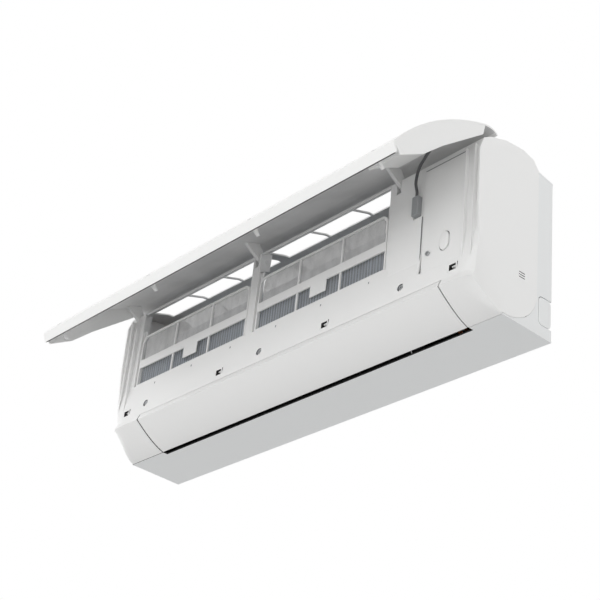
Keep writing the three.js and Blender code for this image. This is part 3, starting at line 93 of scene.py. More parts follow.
Shape = tuple[np.ndarray, list]  # vertices, and faces as lists of their numbers
Test = Callable[[np.ndarray, np.ndarray], np.ndarray]  # picks faces by their middles and normals


class Body(Enum):
    """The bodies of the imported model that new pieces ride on."""

    CHASSIS = "chassis"
    PANEL = "front_panel"


class Slot(Enum):
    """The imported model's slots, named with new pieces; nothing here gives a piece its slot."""

    WHITE = "white_plastic"
    DARK = "dark_plastic"


# ---------------------------------------------------------------- shader maths


class Term:
    """A socket of a node tree that takes part in sums and products as a number does."""

    def __init__(self, tree: "Tree", socket: bpy.types.NodeSocket) -> None:
        """Holds the socket and the tree it belongs to."""
        self.tree = tree
        self.socket = socket

    def _maths(self, operation: str, *values: "Term | float") -> "Term":
        """Adds a Math node of that operation on the values."""
        return self.tree.node("ShaderNodeMath", {"operation": operation}, *values)[0]

    def __add__(self, other: "Term | float") -> "Term":
        """self + other."""
        return self._maths("ADD", self, other)

    __radd__ = __add__

    def __sub__(self, other: "Term | float") -> "Term":
        """self - other."""
        return self._maths("SUBTRACT", self, other)

    def __rsub__(self, other: "Term | float") -> "Term":
        """other - self."""
        return self._maths("SUBTRACT", other, self)

    def __mul__(self, other: "Term | float") -> "Term":
        """self * other."""
        return self._maths("MULTIPLY", self, other)

    __rmul__ = __mul__

    def __truediv__(self, other: "Term | float") -> "Term":
        """self / other."""
        return self._maths("DIVIDE", self, other)

    def __rtruediv__(self, other: "Term | float") -> "Term":
        """other / self."""
        return self._maths("DIVIDE", other, self)

    def __pow__(self, other: "Term | float") -> "Term":
        """self to the power of other."""
        return self._maths("POWER", self, other)

    def __gt__(self, other: "Term | float") -> "Term":
        """1 where self is more than other, else 0."""
        return self._maths("GREATER_THAN", self, other)

    def __mod__(self, other: "Term | float") -> "Term":
        """The rest of self over other, never negative."""
        return self._maths("FLOORED_MODULO", self, other)

    def sine(self) -> "Term":
        """The sine of self in radians."""
        return self._maths("SINE", self)

    def clamped(self) -> "Term":
        """self held between 0 and 1."""
        return self.tree.node("ShaderNodeClamp", {}, self)[0]

    def between(self, low: float, high: float) -> "Term":
        """self taken from low..high to 0..1 in a smooth step.

        Args:
            low: the value that becomes 0.
            high: the value that becomes 1.

        Returns:
            The mapped term.
        """
        settings = {"interpolation_type": "SMOOTHSTEP"}
        return self.tree.node("ShaderNodeMapRange", settings, self, low, high, 0.0, 1.0)[0]


class Tree:
    """A material's or world's node tree with one method that adds any node."""

    def __init__(self, owner: bpy.types.Material | bpy.types.World) -> None:
        """Empties the owner's tree."""
        owner.use_nodes = True
        self.nodes = owner.node_tree.nodes
        self.links = owner.node_tree.links
        self.nodes.clear()

    def node(self, kind: str, settings: dict | None = None, *values: object, **named: object) -> list[Term]:
        """Adds a node.

        Args:
            kind: the node's type, such as ShaderNodeMath.
            settings: the node's properties, set first.
            values: numbers, colours or terms for the node's inputs in order; None leaves one alone.
            named: the same by the socket's name, with _ for a blank.

        Returns:
            The node's enabled outputs as terms.
        """
        made = self.nodes.new(kind)
        for key, value in (settings or {}).items():
            setattr(made, key, value)
        inputs = [s for s in made.inputs if s.enabled]
        pairs = list(zip(inputs, values))
        pairs += [(next(s for s in inputs if s.name == k.replace("_", " ")), v) for k, v in named.items()]
        for socket, value in pairs:
            if isinstance(value, Term):
                self.links.new(value.socket, socket)
            elif value is not None:
                socket.default_value = value
        return [Term(self, s) for s in made.outputs if s.enabled]

    def blend(self, factor: Term | float, first: object, second: object) -> Term:
        """Mixes two colours.

        Args:
            factor: 0 for the first colour, 1 for the second.
            first: a colour or term.
            second: a colour or term.

        Returns:
            The mixed colour.
        """
        mix = self.nodes.new("ShaderNodeMix")
        mix.data_type = "RGBA"
        sockets = (mix.inputs[0], mix.inputs[6], mix.inputs[7])
        for socket, value in zip(sockets, (factor, first, second)):
            if isinstance(value, Term):
                self.links.new(value.socket, socket)
            else:
                socket.default_value = value
        return Term(self, mix.outputs[2])

    def place(self) -> list[Term]:
        """The surface point's object coordinates as x, y and z in metres."""
        vector = self.node("ShaderNodeTexCoord")[3]
        return self.node("ShaderNodeSeparateXYZ", {}, vector)

    def stretched(self, scale: tuple[float, float, float]) -> Term:
        """Object coordinates multiplied by a scale on each axis."""
        vector = self.node("ShaderNodeTexCoord")[3]
        return self.node("ShaderNodeMapping", {}, vector, Scale=scale)[0]

    def noise(self, scale: float, detail: float = 3.0, vector: Term | None = None) -> Term:
        """A noise value about 0.5 at that many waves a metre."""
        source = vector or self.node("ShaderNodeTexCoord")[3]
        return self.node("ShaderNodeTexNoise", {}, source, Scale=scale, Detail=detail)[0]


def rgba(colour: Sequence[float]) -> tuple[float, float, float, float]:
    """A colour with full alpha."""
    return (colour[0], colour[1], colour[2], 1.0)


@dataclass(frozen=True)
class Finish:
    """A plain surface finish: moulded plastic, painted or bare metal."""

    name: str
    colour: tuple[float, float, float]
    rough: float = 0.4
    metal: float = 0.0
    tint: float = 0.03  # how far the colour wanders, as a share
    uneven: float = 0.12  # how far the roughness wanders
    grain: float = 900.0  # waves a metre of the surface's fine grain
    depth: float = 0.03  # the grain's bump, mm
    relief: float = 0.35  # the bump's strength

    def base(self, tree: Tree) -> Term:
        """The base colour over the surface: the plain colour that wanders slightly.

        Args:
            tree: the material's node tree.

        Returns:
            The colour.
        """
        wander = tree.noise(14.0, 4.0)
        pale = rgba([min(1.0, c * (1 + self.tint)) for c in self.colour])
        deep = rgba([c * (1 - self.tint) for c in self.colour])
        return tree.blend(wander.between(0.35, 0.65), deep, pale)

    def roughness(self, tree: Tree) -> Term:
        """The roughness over the surface, a little uneven."""
        return tree.noise(45.0, 3.0) * self.uneven + (self.rough - self.uneven / 2)

    def height(self, tree: Tree) -> Term:
        """The surface's fine grain."""
        return tree.noise(self.grain, 2.0)

    def inputs(self, tree: Tree) -> dict[str, object]:
        """The shader's inputs.

        Args:
            tree: the material's node tree.

        Returns:
            Values and terms by the socket's name, with _ for a blank.
        """
        height = self.height(tree)
        bump = tree.node(
            "ShaderNodeBump", {}, Strength=self.relief, Distance=self.depth / 1000, Height=height
        )
        return {
            "Base_Color": self.base(tree),
            "Roughness": self.roughness(tree),
            "Metallic": self.metal,
            "Normal": bump[0],
        }

    def make(self) -> bpy.types.Material:
        """Builds the material once.

        Returns:
            The material, the same one each time.
        """
        if self.name in bpy.data.materials:
            return bpy.data.materials[self.name]
        material = bpy.data.materials.new(self.name)
        tree = Tree(material)
        shader = tree.node("ShaderNodeBsdfPrincipled", {}, **self.inputs(tree))[0]
        tree.node("ShaderNodeOutputMaterial", {}, shader)
        return material


WHITE = Finish("white_plastic", (0.84, 0.84, 0.835), rough=0.38, tint=0.008)
BASE_WHITE = Finish("base_plastic", (0.82, 0.82, 0.817), rough=0.45, tint=0.01)
DARK = Finish("dark_plastic", (0.045, 0.045, 0.047), rough=0.45)
GREY = Finish("grey_plastic", (0.27, 0.28, 0.29), rough=0.5)
STEEL = Finish("zinc_steel", (0.55, 0.56, 0.57), rough=0.42, metal=0.9, tint=0.035)
COPPER = Finish("copper", (0.72, 0.33, 0.2), rough=0.35, metal=1.0, tint=0.1)
BRASS = Finish("brass", (0.72, 0.55, 0.25), rough=0.35, metal=1.0, tint=0.08)
BOARD = Finish("circuit_board", (0.05, 0.16, 0.07), rough=0.4, tint=0.15)
RUBBER = Finish("rubber", (0.03, 0.03, 0.032), rough=0.75)
GREY_WHITE = Finish("plug_plastic", (0.33, 0.34, 0.35), rough=0.45)
LEAD_GREY = Finish("lead_jacket", (0.1, 0.1, 0.105), rough=0.5, tint=0.1)
SHAFT = Finish("bright_steel", (0.6, 0.6, 0.61), rough=0.28, metal=1.0)


@dataclass(frozen=True)
class Netting(Finish):
    """A woven net: threads along and up, with air between them."""

    pitch: float = 1.2  # between threads, mm
    open_thread: float = 0.06  # a thread's share of the pitch in the lower cells
    close_thread: float = 0.44  # the same in the upper cells, where the threads are wider
    border: float = 19.0  # height where the wider threads start, mm over the row frame's origin
    fade: float = 3.0  # half the height over which one net becomes the other, mm
    dust: float = 0.16  # how much darker a dusty fleck is

    def base(self, tree: Tree) -> Term:
        """Dusty threads: the colour wanders in small flecks.

        Args:
            tree: the material's node tree.

        Returns:
            The colour.
        """
        flecks = tree.noise(70.0, 6.0, tree.stretched((1.0, 1.0, 0.5))).between(0.3, 0.7)
        deep = rgba([c * (1 - self.dust) for c in self.colour])
        return tree.blend(flecks, deep, rgba(self.colour))

    def cover(self, tree: Tree) -> Term:
        """Where the threads are: a square wave along X joined with one along Z.

        Args:
            tree: the material's node tree.

        Returns:
            1 on a thread and 0 in a hole.
        """
        x, _, z = tree.place()
        share = z.between((self.border - self.fade) / 1000, (self.border + self.fade) / 1000)
        width = share * (self.close_thread - self.open_thread) + self.open_thread
        upright = width > (x / (self.pitch / 1000)) % 1.0
        across = width > (z / (self.pitch / 1000)) % 1.0
        return 1.0 - (1.0 - upright) * (1.0 - across)

    def inputs(self, tree: Tree) -> dict[str, object]:
        """The shader's inputs: the threads have an alpha and no grain."""
        return {"Base_Color": self.base(tree), "Roughness": self.rough, "Alpha": self.cover(tree)}


@dataclass(frozen=True)
class Fins(Finish):
    """Thin coated aluminium fins, with light and shade painted on in bands a few fins wide."""

    band: float = 6.2  # width of one band of painted light and shade, mm
    # how far the painted light and shade bands darken and lighten the fin colour
    contrast: float = 0.46

    def base(self, tree: Tree) -> Term:
        """The fin colour times a wave along X of painted light and shade, roughened by streaks that run up
        the fins.

        Args:
            tree: the material's node tree.

        Returns:
            The colour.
        """
        x, _, _ = tree.place()
        streak = tree.noise(1.0, 3.0, tree.stretched((420.0, 30.0, 14.0)))
        wave = (x * (2000 * math.pi / self.band) + streak * 2.0).sine() * 0.5 + 0.5
        level = (wave * 0.7 + streak.between(0.3, 0.7) * 0.3).clamped()
        deep = rgba([c * (1 - self.contrast) for c in self.colour])
        pale = rgba([min(1.0, c * (1 + self.contrast)) for c in self.colour])
        return tree.blend(level, deep, pale)


NET = Netting("filter_net", (0.74, 0.74, 0.74), rough=0.6)
FIN_COAT = Fins("fin_aluminium", (0.52, 0.57, 0.63), rough=0.45, metal=0.2)
# a darker grey copy of the white plastic, painted as the shade on the panel's inner side
PANEL_INNER_SHADE = Finish("panel_inner_shade", (0.72, 0.72, 0.72), rough=0.5, tint=0.06)
FLOOR_PAINT = Finish("floor_paint", (0.86, 0.86, 0.86), rough=0.7, tint=0.004)


# ---------------------------------------------------------------- meshes


def place(points: np.ndarray) -> np.ndarray:
    """Millimetres over the underside to metres in the row frame: z less 141, all over 1000."""
    moved = np.array(points, dtype=float)
    moved[..., 2] -= UNDERSIDE
    return moved / 1000.0


def drawn(points: np.ndarray) -> np.ndarray:
    """Metres in the row frame to millimetres over the underside, as `place` turned round."""
    return points * 1000 + [0, 0, UNDERSIDE]


def swung(points: np.ndarray, degrees: float = PANEL_OPEN) -> np.ndarray:
    """Points of the closed panel turned about its pivot to the raised pose.

    In the plane of y and z: y' = y cos a + z sin a and z' = -y sin a + z cos a, from the pivot.

    Args:
        points: millimetres, drawn with the panel closed.
        degrees: how far the panel is raised.

    Returns:
        The turned points.
    """
    turn = math.radians(degrees)
    moved = np.array(points, dtype=float)
    y, z = moved[..., 1] - HINGE[0], moved[..., 2] - HINGE[1]
    moved[..., 1] = HINGE[0] + y * math.cos(turn) + z * math.sin(turn)
    moved[..., 2] = HINGE[1] - y * math.sin(turn) + z * math.cos(turn)
    return moved


def smooth_step(share: np.ndarray) -> np.ndarray:
    """A smooth step: t^2 (3 - 2 t), with t the share held between 0 and 1."""
    t = np.clip(share, 0, 1)
    return t * t * (3 - 2 * t)


def within(values: np.ndarray, span: tuple[float, float]) -> np.ndarray:
    """True where the values lie inside the span."""
    return (values > span[0]) & (values < span[1])


def make_object(name: str, mesh: bpy.types.Mesh, look: bpy.types.Material) -> bpy.types.Object:
    """Links a mesh to the scene as an object at the origin.

    Args:
        name: the object's name.
        mesh: its mesh.
        look: its one material.

    Returns:
        The object.
    """
    mesh.materials.clear()
    mesh.materials.append(look)
    thing = bpy.data.objects.new(name, mesh)
    bpy.context.scene.collection.objects.link(thing)
    return thing


def points_of(mesh: bpy.types.Mesh) -> np.ndarray:
    """A mesh's vertices as an array of n x 3, in metres."""
    points = np.empty(len(mesh.vertices) * 3)
    mesh.vertices.foreach_get("co", points)
    return points.reshape(-1, 3)


def move_points(mesh: bpy.types.Mesh, points: np.ndarray) -> None:
    """Puts a mesh's vertices at new places, in metres."""
    mesh.vertices.foreach_set("co", points.ravel())


def tidy(mesh: bpy.types.Mesh, angle: float = SHARP, weld: float = 2e-6, flat: float = 0.0) -> None:
    """Welds a mesh, turns its faces outwards and shades it smooth where it bends little.

    Args:
        mesh: the mesh, changed in place.
        angle: edges that bend more than this stay sharp, in degrees.
        weld: points nearer than this are one, in metres.
        flat: triangles that lie this flat together become one face, in degrees.
    """
    work = bmesh.new()
    work.from_mesh(mesh)
    bmesh.ops.remove_doubles(work, verts=work.verts, dist=weld)
    bmesh.ops.dissolve_degenerate(work, edges=work.edges, dist=weld)
    if flat > 0:
        bmesh.ops.dissolve_limit(
            work,
            angle_limit=math.radians(flat),
            verts=work.verts,
            edges=work.edges,
            use_dissolve_boundaries=False,
        )
    bmesh.ops.recalc_face_normals(work, faces=work.faces)
    for face in work.faces:
        face.smooth = True
    limit = math.radians(angle)
    for edge in work.edges:
        edge.smooth = edge.is_manifold and edge.calc_face_angle(0.0) < limit
    work.to_mesh(mesh)
    work.free()


def grid(points: np.ndarray, around: bool = False) -> Shape:
    """A grid of points as vertices and quads.

    Args:
        points: an array of rows x columns x 3.
        around: the columns close on themselves.

    Returns:
        The vertices and the faces.
    """
    rows, columns = points.shape[:2]
    r = np.arange(rows - 1)[:, None] * columns
    c = np.arange(columns if around else columns - 1)[None, :]
    ahead = (c + 1) % columns
    cells = [(r + c), (r + ahead), (r + columns + ahead), (r + columns + c)]
    return points.reshape(-1, 3), np.stack([cell.ravel() for cell in cells], axis=1).tolist()


def closed(rings: np.ndarray) -> Shape:
    """Rings of points joined into a skin, with a face over each end.

    Args:
        rings: an array of rings x corners x 3.

    Returns:
        The vertices and the faces.
    """
    count = rings.shape[1]
    points, faces = grid(rings, around=True)
    last = len(points) - count
    return points, faces + [list(range(count))[::-1], list(range(last, last + count))]


def mesh_of(name: str, parts: Iterable[Shape]) -> bpy.types.Mesh:
    """Joins shapes into one mesh.

    Args:
        name: the mesh's name.
        parts: the shapes, in row-frame metres.

    Returns:
        The mesh.
    """
    vertices, faces, start = [], [], 0
    for points, cells in parts:
        vertices.append(np.asarray(points, dtype=float).reshape(-1, 3))
        faces += [[i + start for i in cell] for cell in cells]
        start += len(vertices[-1])
    mesh = bpy.data.meshes.new(name)
    mesh.from_pydata(np.concatenate(vertices).tolist(), [], faces)
    return mesh


def bar(outline: np.ndarray, x0: float, x1: float) -> Shape:
    """An outline in y and z carried from x0 to x1, with both ends closed.

    Args:
        outline: an array of n x 2 points, y and z.
        x0: one end.
        x1: the other end.

    Returns:
        The vertices in the outline's units and the faces.
    """
    return closed(np.stack([np.column_stack([np.full(len(outline), x), outline]) for x in (x0, x1)]))


def block(x: tuple[float, float], y: tuple[float, float], z: tuple[float, float]) -> Shape:
    """A box between the spans."""
    corners = np.array([[y[0], z[0]], [y[1], z[0]], [y[1], z[1]], [y[0], z[1]]])
    return bar(corners, x[0], x[1])


def bezier(a: Sequence[float], b: Sequence[float], c: Sequence[float], count: int) -> np.ndarray:
    """A quadratic curve: (1-t)^2 a + 2 t (1-t) b + t^2 c, with t from 0 to 1.

    Args:
        a: the curve's start.
        b: its control point.
        c: its end.
        count: the even steps of t.

    Returns:
        The points.
    """
    t = np.linspace(0.0, 1.0, count)[:, None]
    a, b, c = (np.asarray(p, dtype=float) for p in (a, b, c))
    return (1 - t) ** 2 * a + 2 * t * (1 - t) * b + t**2 * c


def bevelled(
    thing: bpy.types.Object, width: float, segments: int = 2, angle: float = 35.0
) -> bpy.types.Object:
    """Rounds an object's edges with a live modifier.

    Args:
        thing: the object.
        width: the rounding, in millimetres.
        segments: the steps of the rounding.
        angle: edges that bend more are rounded, in degrees.

    Returns:
        The same object.
    """
    bevel = thing.modifiers.new("edge_round", "BEVEL")
    bevel.width = width / 1000
    bevel.segments = segments
    bevel.limit_method = "ANGLE"
    bevel.angle_limit = math.radians(angle)
    bevel.use_clamp_overlap = True
    bevel.harden_normals = True
    return thing


def line_with(mesh: bpy.types.Mesh, finish: Finish, inside: Test) -> None:
    """Gives some faces of a mesh a second finish.

    Args:
        mesh: the mesh, changed in place.
        finish: the second finish.
        inside: takes the faces' middles in millimetres over the underside and their normals, and
            returns True for the faces that get it.
    """
    count = len(mesh.polygons)
    middle, normal = np.empty(count * 3), np.empty(count * 3)
    mesh.polygons.foreach_get("center", middle)
    mesh.polygons.foreach_get("normal", normal)
    mesh.materials.append(finish.make())
    index = np.empty(count, dtype=np.int32)
    mesh.polygons.foreach_get("material_index", index)
    index[inside(drawn(middle.reshape(-1, 3)), normal.reshape(-1, 3))] = len(mesh.materials) - 1
    mesh.polygons.foreach_set("material_index", index)


def cut_planes(
    mesh: bpy.types.Mesh,
    planes: Iterable[tuple[tuple, tuple]],
    near: Callable[[Vector], bool],
) -> None:
    """Cuts the faces of a part of a mesh along planes, so that it can bend there.

    Args:
        mesh: the mesh, changed in place.
        planes: a point on each plane and its normal, in metres.
        near: True for the middle of a face that is cut.
    """
    work = bmesh.new()
    work.from_mesh(mesh)
    for point, normal in planes:
        faces = [f for f in work.faces if near(f.calc_center_bounds())]
        edges = {e for f in faces for e in f.edges}
        corners = {v for f in faces for v in f.verts}
        bmesh.ops.bisect_plane(
            work, geom=[*corners, *edges, *faces], dist=1e-6, plane_co=point, plane_no=normal
        )
    work.to_mesh(mesh)
    work.free()


def hull(points: np.ndarray) -> np.ndarray:
    """Orders the corners of a convex outline by their angle round its middle.

    Args:
        points: the corners, y and z, some of them more than once.

    Returns:
        Each corner once, in order.
    """
    corners = np.unique(points.round(2), axis=0)
    middle = corners.mean(axis=0)
    order = np.argsort(np.arctan2(corners[:, 1] - middle[1], corners[:, 0] - middle[0]))
    return corners[order]


# ---------------------------------------------------------------- carried-over nodes


@dataclass
class Unit:
    """What every sub-assembly shares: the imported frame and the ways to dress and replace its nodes."""

    frame: dict
    nodes: dict = field(init=False)
    owner: dict = field(init=False)  # each node's body

    def __post_init__(self) -> None:
        """Reads the nodes and their bodies from the frame."""
        self.nodes = self.frame["nodes"]
        bodies = self.frame["record"]["behaviour"]["bodies"]
        self.owner = {node: body for body, nodes in bodies.items() for node in nodes}

    def dress(self, finish: Finish, *names: str) -> None:
        """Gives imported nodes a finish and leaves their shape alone.

        Args:
            finish: the finish.
            names: the nodes.
        """
        for name in names:
            mesh = self.nodes[name].data
            mesh.materials.clear()
            mesh.materials.append(finish.make())
            LOG.info("dressed %s", name)

    def copied(self, node: str, flush: float = 0.0) -> bpy.types.Mesh:
        """A welded, smooth-shaded copy of a node's mesh.

        Args:
            node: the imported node.
            flush: points this near to the ends of the unit, in millimetres, move onto them.

        Returns:
            The copy.
        """
        mesh = self.nodes[node].data.copy()
        mesh.name = f"{node}_look"
        if flush > 0:
            points = points_of(mesh)
            close = RIGHT / 1000 - np.abs(points[:, 0]) < flush / 1000
            points[close, 0] = np.sign(points[close, 0]) * RIGHT / 1000
            move_points(mesh, points)
        tidy(mesh, flat=FLAT)
        return mesh

    def rounded(
        self, node: str, finish: Finish, width: float, lining: tuple[Finish, Test] | None = None
    ) -> bpy.types.Object:
        """A welded, smooth-shaded copy of a node with rounded edges, which stands for the node.

        Args:
            node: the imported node.
            finish: the copy's finish.
            width: the edges' rounding in millimetres.
            lining: a second finish, and the test that picks its faces.

        Returns:
            The copy.
        """
        thing = make_object(f"{node}_look", self.copied(node), finish.make())
        if lining:
            line_with(thing.data, *lining)
        return self.stands_for(bevelled(thing, width, angle=SHARP), node)

    def stands_for(self, thing: bpy.types.Object, node: str) -> bpy.types.Object:
        """Makes a piece ride with a node's body and stand for the node.

        Args:
            thing: the piece.
            node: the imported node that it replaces.

        Returns:
            The same piece.
        """
        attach(thing, self.owner[node])
        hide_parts(node)
        LOG.info("%s stands for %s", thing.name, node)
        return thing

    def added(
        self,
        name: str,
        parts: Iterable[Shape],
        finish: Finish,
        slot: Slot,
        body: Body = Body.CHASSIS,
        width: float = 0.0,
    ) -> bpy.types.Object:
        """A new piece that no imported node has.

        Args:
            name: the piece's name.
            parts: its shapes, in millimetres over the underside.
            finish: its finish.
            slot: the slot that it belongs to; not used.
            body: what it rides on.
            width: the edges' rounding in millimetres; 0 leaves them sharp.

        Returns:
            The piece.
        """
        mesh = mesh_of(name, [(place(points), faces) for points, faces in parts])
        tidy(mesh)
        thing = make_object(name, mesh, finish.make())
        if width > 0:
            bevelled(thing, width)
        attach(thing, body.value)
        LOG.info("added %s", name)
        return thing


@dataclass
class LowerCheek:
    """How the lower end cheeks round off from the front band and the outlet into the ends."""

    reach: float = 33.0  # along X
    depth: float = 38.0  # from the outline inwards
    top: float = 114.0  # the height where the rounding starts
    full: float = 34.0  # the height where it is whole
    tail: float = 0.12  # its share at the lower end of the outline
    corners: tuple = ((-147.0, 150.0), (-149.0, 105.0), (-156.0, 50.4), (-161.0, 39.0))  # y and z
    corner_steps: tuple = (20, 30, 8)  # points between one corner and the next
    belly: tuple = (-125.0, 9.0)  # the control point of the outlet's curve
    end: tuple = (-100.4, 1.9)
    curve_steps: int = 50
    blur: int = 12  # points to each side over which the inward direction is evened out
    margin: float = 4.0  # height over the top up to which points are looked at
    slices: int = 10  # cuts across X at each end, with the end itself
    slice_past: float = 0.5  # the last cut, past the reach
    cut_pitch: float = 5.5  # between the cuts across z, and across y
    cut_bottom: float = 3.0
    cut_depths: tuple = (-157.0, -62.0)  # the span of y

    def outline(self) -> tuple[np.ndarray, np.ndarray]:
        """The cheek's outline from the filter window's foot to the outlet's lower edge.

        Returns:
            The points, y and z, and the rounding's share at each: a smooth step over the height, and
            another back to the tail along the outlet's curve.
        """
        legs = zip(self.corners, self.corners[1:], self.corner_steps)
        straight = [np.linspace(first, second, count)[:-1] for first, second, count in legs]
        curve = bezier(self.corners[-1], self.belly, self.end, self.curve_steps)
        points = np.concatenate([*straight, curve])
        share = smooth_step((self.top - points[:, 1]) / (self.top - self.full))
        along = np.arange(len(points)) - (len(points) - self.curve_steps)
        return points, share * (1 - (1 - self.tail) * smooth_step(along / (self.curve_steps - 1)))

    def planes(self) -> tuple[list, list]:
        """The planes that divide the cheeks.

        Returns:
            Those across X near both ends, and those across z and y.
        """
        steps = np.linspace(0.0, self.reach + self.slice_past, self.slices)[1:]
        heights = np.arange(self.cut_bottom, self.top, self.cut_pitch)
        depths = np.arange(*self.cut_depths, self.cut_pitch)
        across = [((side * (RIGHT - step) / 1000, 0, 0), (1, 0, 0)) for side in (-1, 1) for step in steps]
        level = [((0, 0, (z - UNDERSIDE) / 1000), (0, 0, 1)) for z in heights]
        upright = [((0, y / 1000, 0), (0, 1, 0)) for y in depths]
        return across, level + upright

    def inward(self, line: np.ndarray) -> np.ndarray:
        """The directions from the outline into the casing, evened out along it.

        Args:
            line: the outline's points.

        Returns:
            A direction of length 1 at each point: the line's normal, averaged over its neighbours.
        """
        tangent = np.gradient(line, axis=0)
        tangent /= np.linalg.norm(tangent, axis=1, keepdims=True)
        normal = np.column_stack([-tangent[:, 1], tangent[:, 0]])
        padded = np.pad(normal, ((self.blur, self.blur), (0, 0)), mode="edge")
        window = 2 * self.blur + 1
        mean = sum(padded[i : i + len(line)] for i in range(window)) / window
        return mean / np.linalg.norm(mean, axis=1, keepdims=True)

    def bent(self, points: np.ndarray) -> np.ndarray:
        """Rounds the corner between each end and the outline.

        With u the nearness to the end and v the nearness to the outline, both from 0 at the reach to 1
        at the surface, the corner's square becomes a disc: u' = u sqrt(1 - v^2 / 2) and
        v' = v sqrt(1 - u^2 / 2).

        Args:
            points: millimetres over the underside.

        Returns:
            The bent points.
        """
        line, share = self.outline()
        inward = self.inward(line)
        chosen = (RIGHT - np.abs(points[:, 0]) < self.reach) & (points[:, 2] < self.top + self.margin)
        part = points[chosen]
        nearest = np.linalg.norm(part[:, None, 1:] - line[None], axis=2).argmin(axis=1)
        size = np.maximum(share[nearest], 1e-4)  # never zero, because it divides
        deep = ((part[:, 1:] - line[nearest]) * inward[nearest]).sum(axis=1)
        u = np.clip(1 - (RIGHT - np.abs(part[:, 0])) / (self.reach * size), 0, 1)
        v = np.clip(1 - deep / (self.depth * size), 0, 1)
        along = (u - u * np.sqrt(1 - v * v / 2)) * self.reach * size
        into = (v - v * np.sqrt(1 - u * u / 2)) * self.depth * size
        moved = points.copy()
        moved[chosen, 0] -= np.sign(part[:, 0]) * along
        moved[chosen, 1:] += inward[nearest] * into[:, None]
        return moved


@dataclass
class Button:
    """The domed manual button in the service cover."""

    centre: tuple[float, float] = (352.0, 119.0)  # x and z
    half: tuple[float, float] = (8.3, 14.3)  # half its width and height
    square: float = 0.8  # the power that squares its oval
    foot: float = -142.3  # y of its hidden end
    rim: float = -149.4  # y where the dome starts
    dome: float = 2.1  # how far the dome stands out
    corners: int = 48
    steps: int = 12

    def shape(self) -> Shape:
        """The button as closed rings of an oval.

        A ring is x = a cos t and z = b sin t, each of cos and sin to the power that squares it. Over
        the rings the dome rises by its height times sqrt(1 - r^2), with r the ring's share.

        Returns:
            The shape in millimetres over the underside.
        """
        turn = np.linspace(0, 2 * math.pi, self.corners, endpoint=False)
        oval = np.column_stack([np.cos(turn), np.sin(turn)])
        oval = np.sign(oval) * np.abs(oval) ** self.square * self.half
        share = np.sin(np.linspace(0, math.pi / 2, self.steps))[:0:-1]
        y = np.concatenate([[self.foot], self.rim - self.dome * np.sqrt(1 - share**2)])[:, None]
        share = np.concatenate([[1.0], share])[:, None]
        x, z = (self.centre[axis] + share * oval[None, :, axis] for axis in (0, 1))
        return closed(np.stack([x, np.broadcast_to(y, x.shape), z], axis=2))


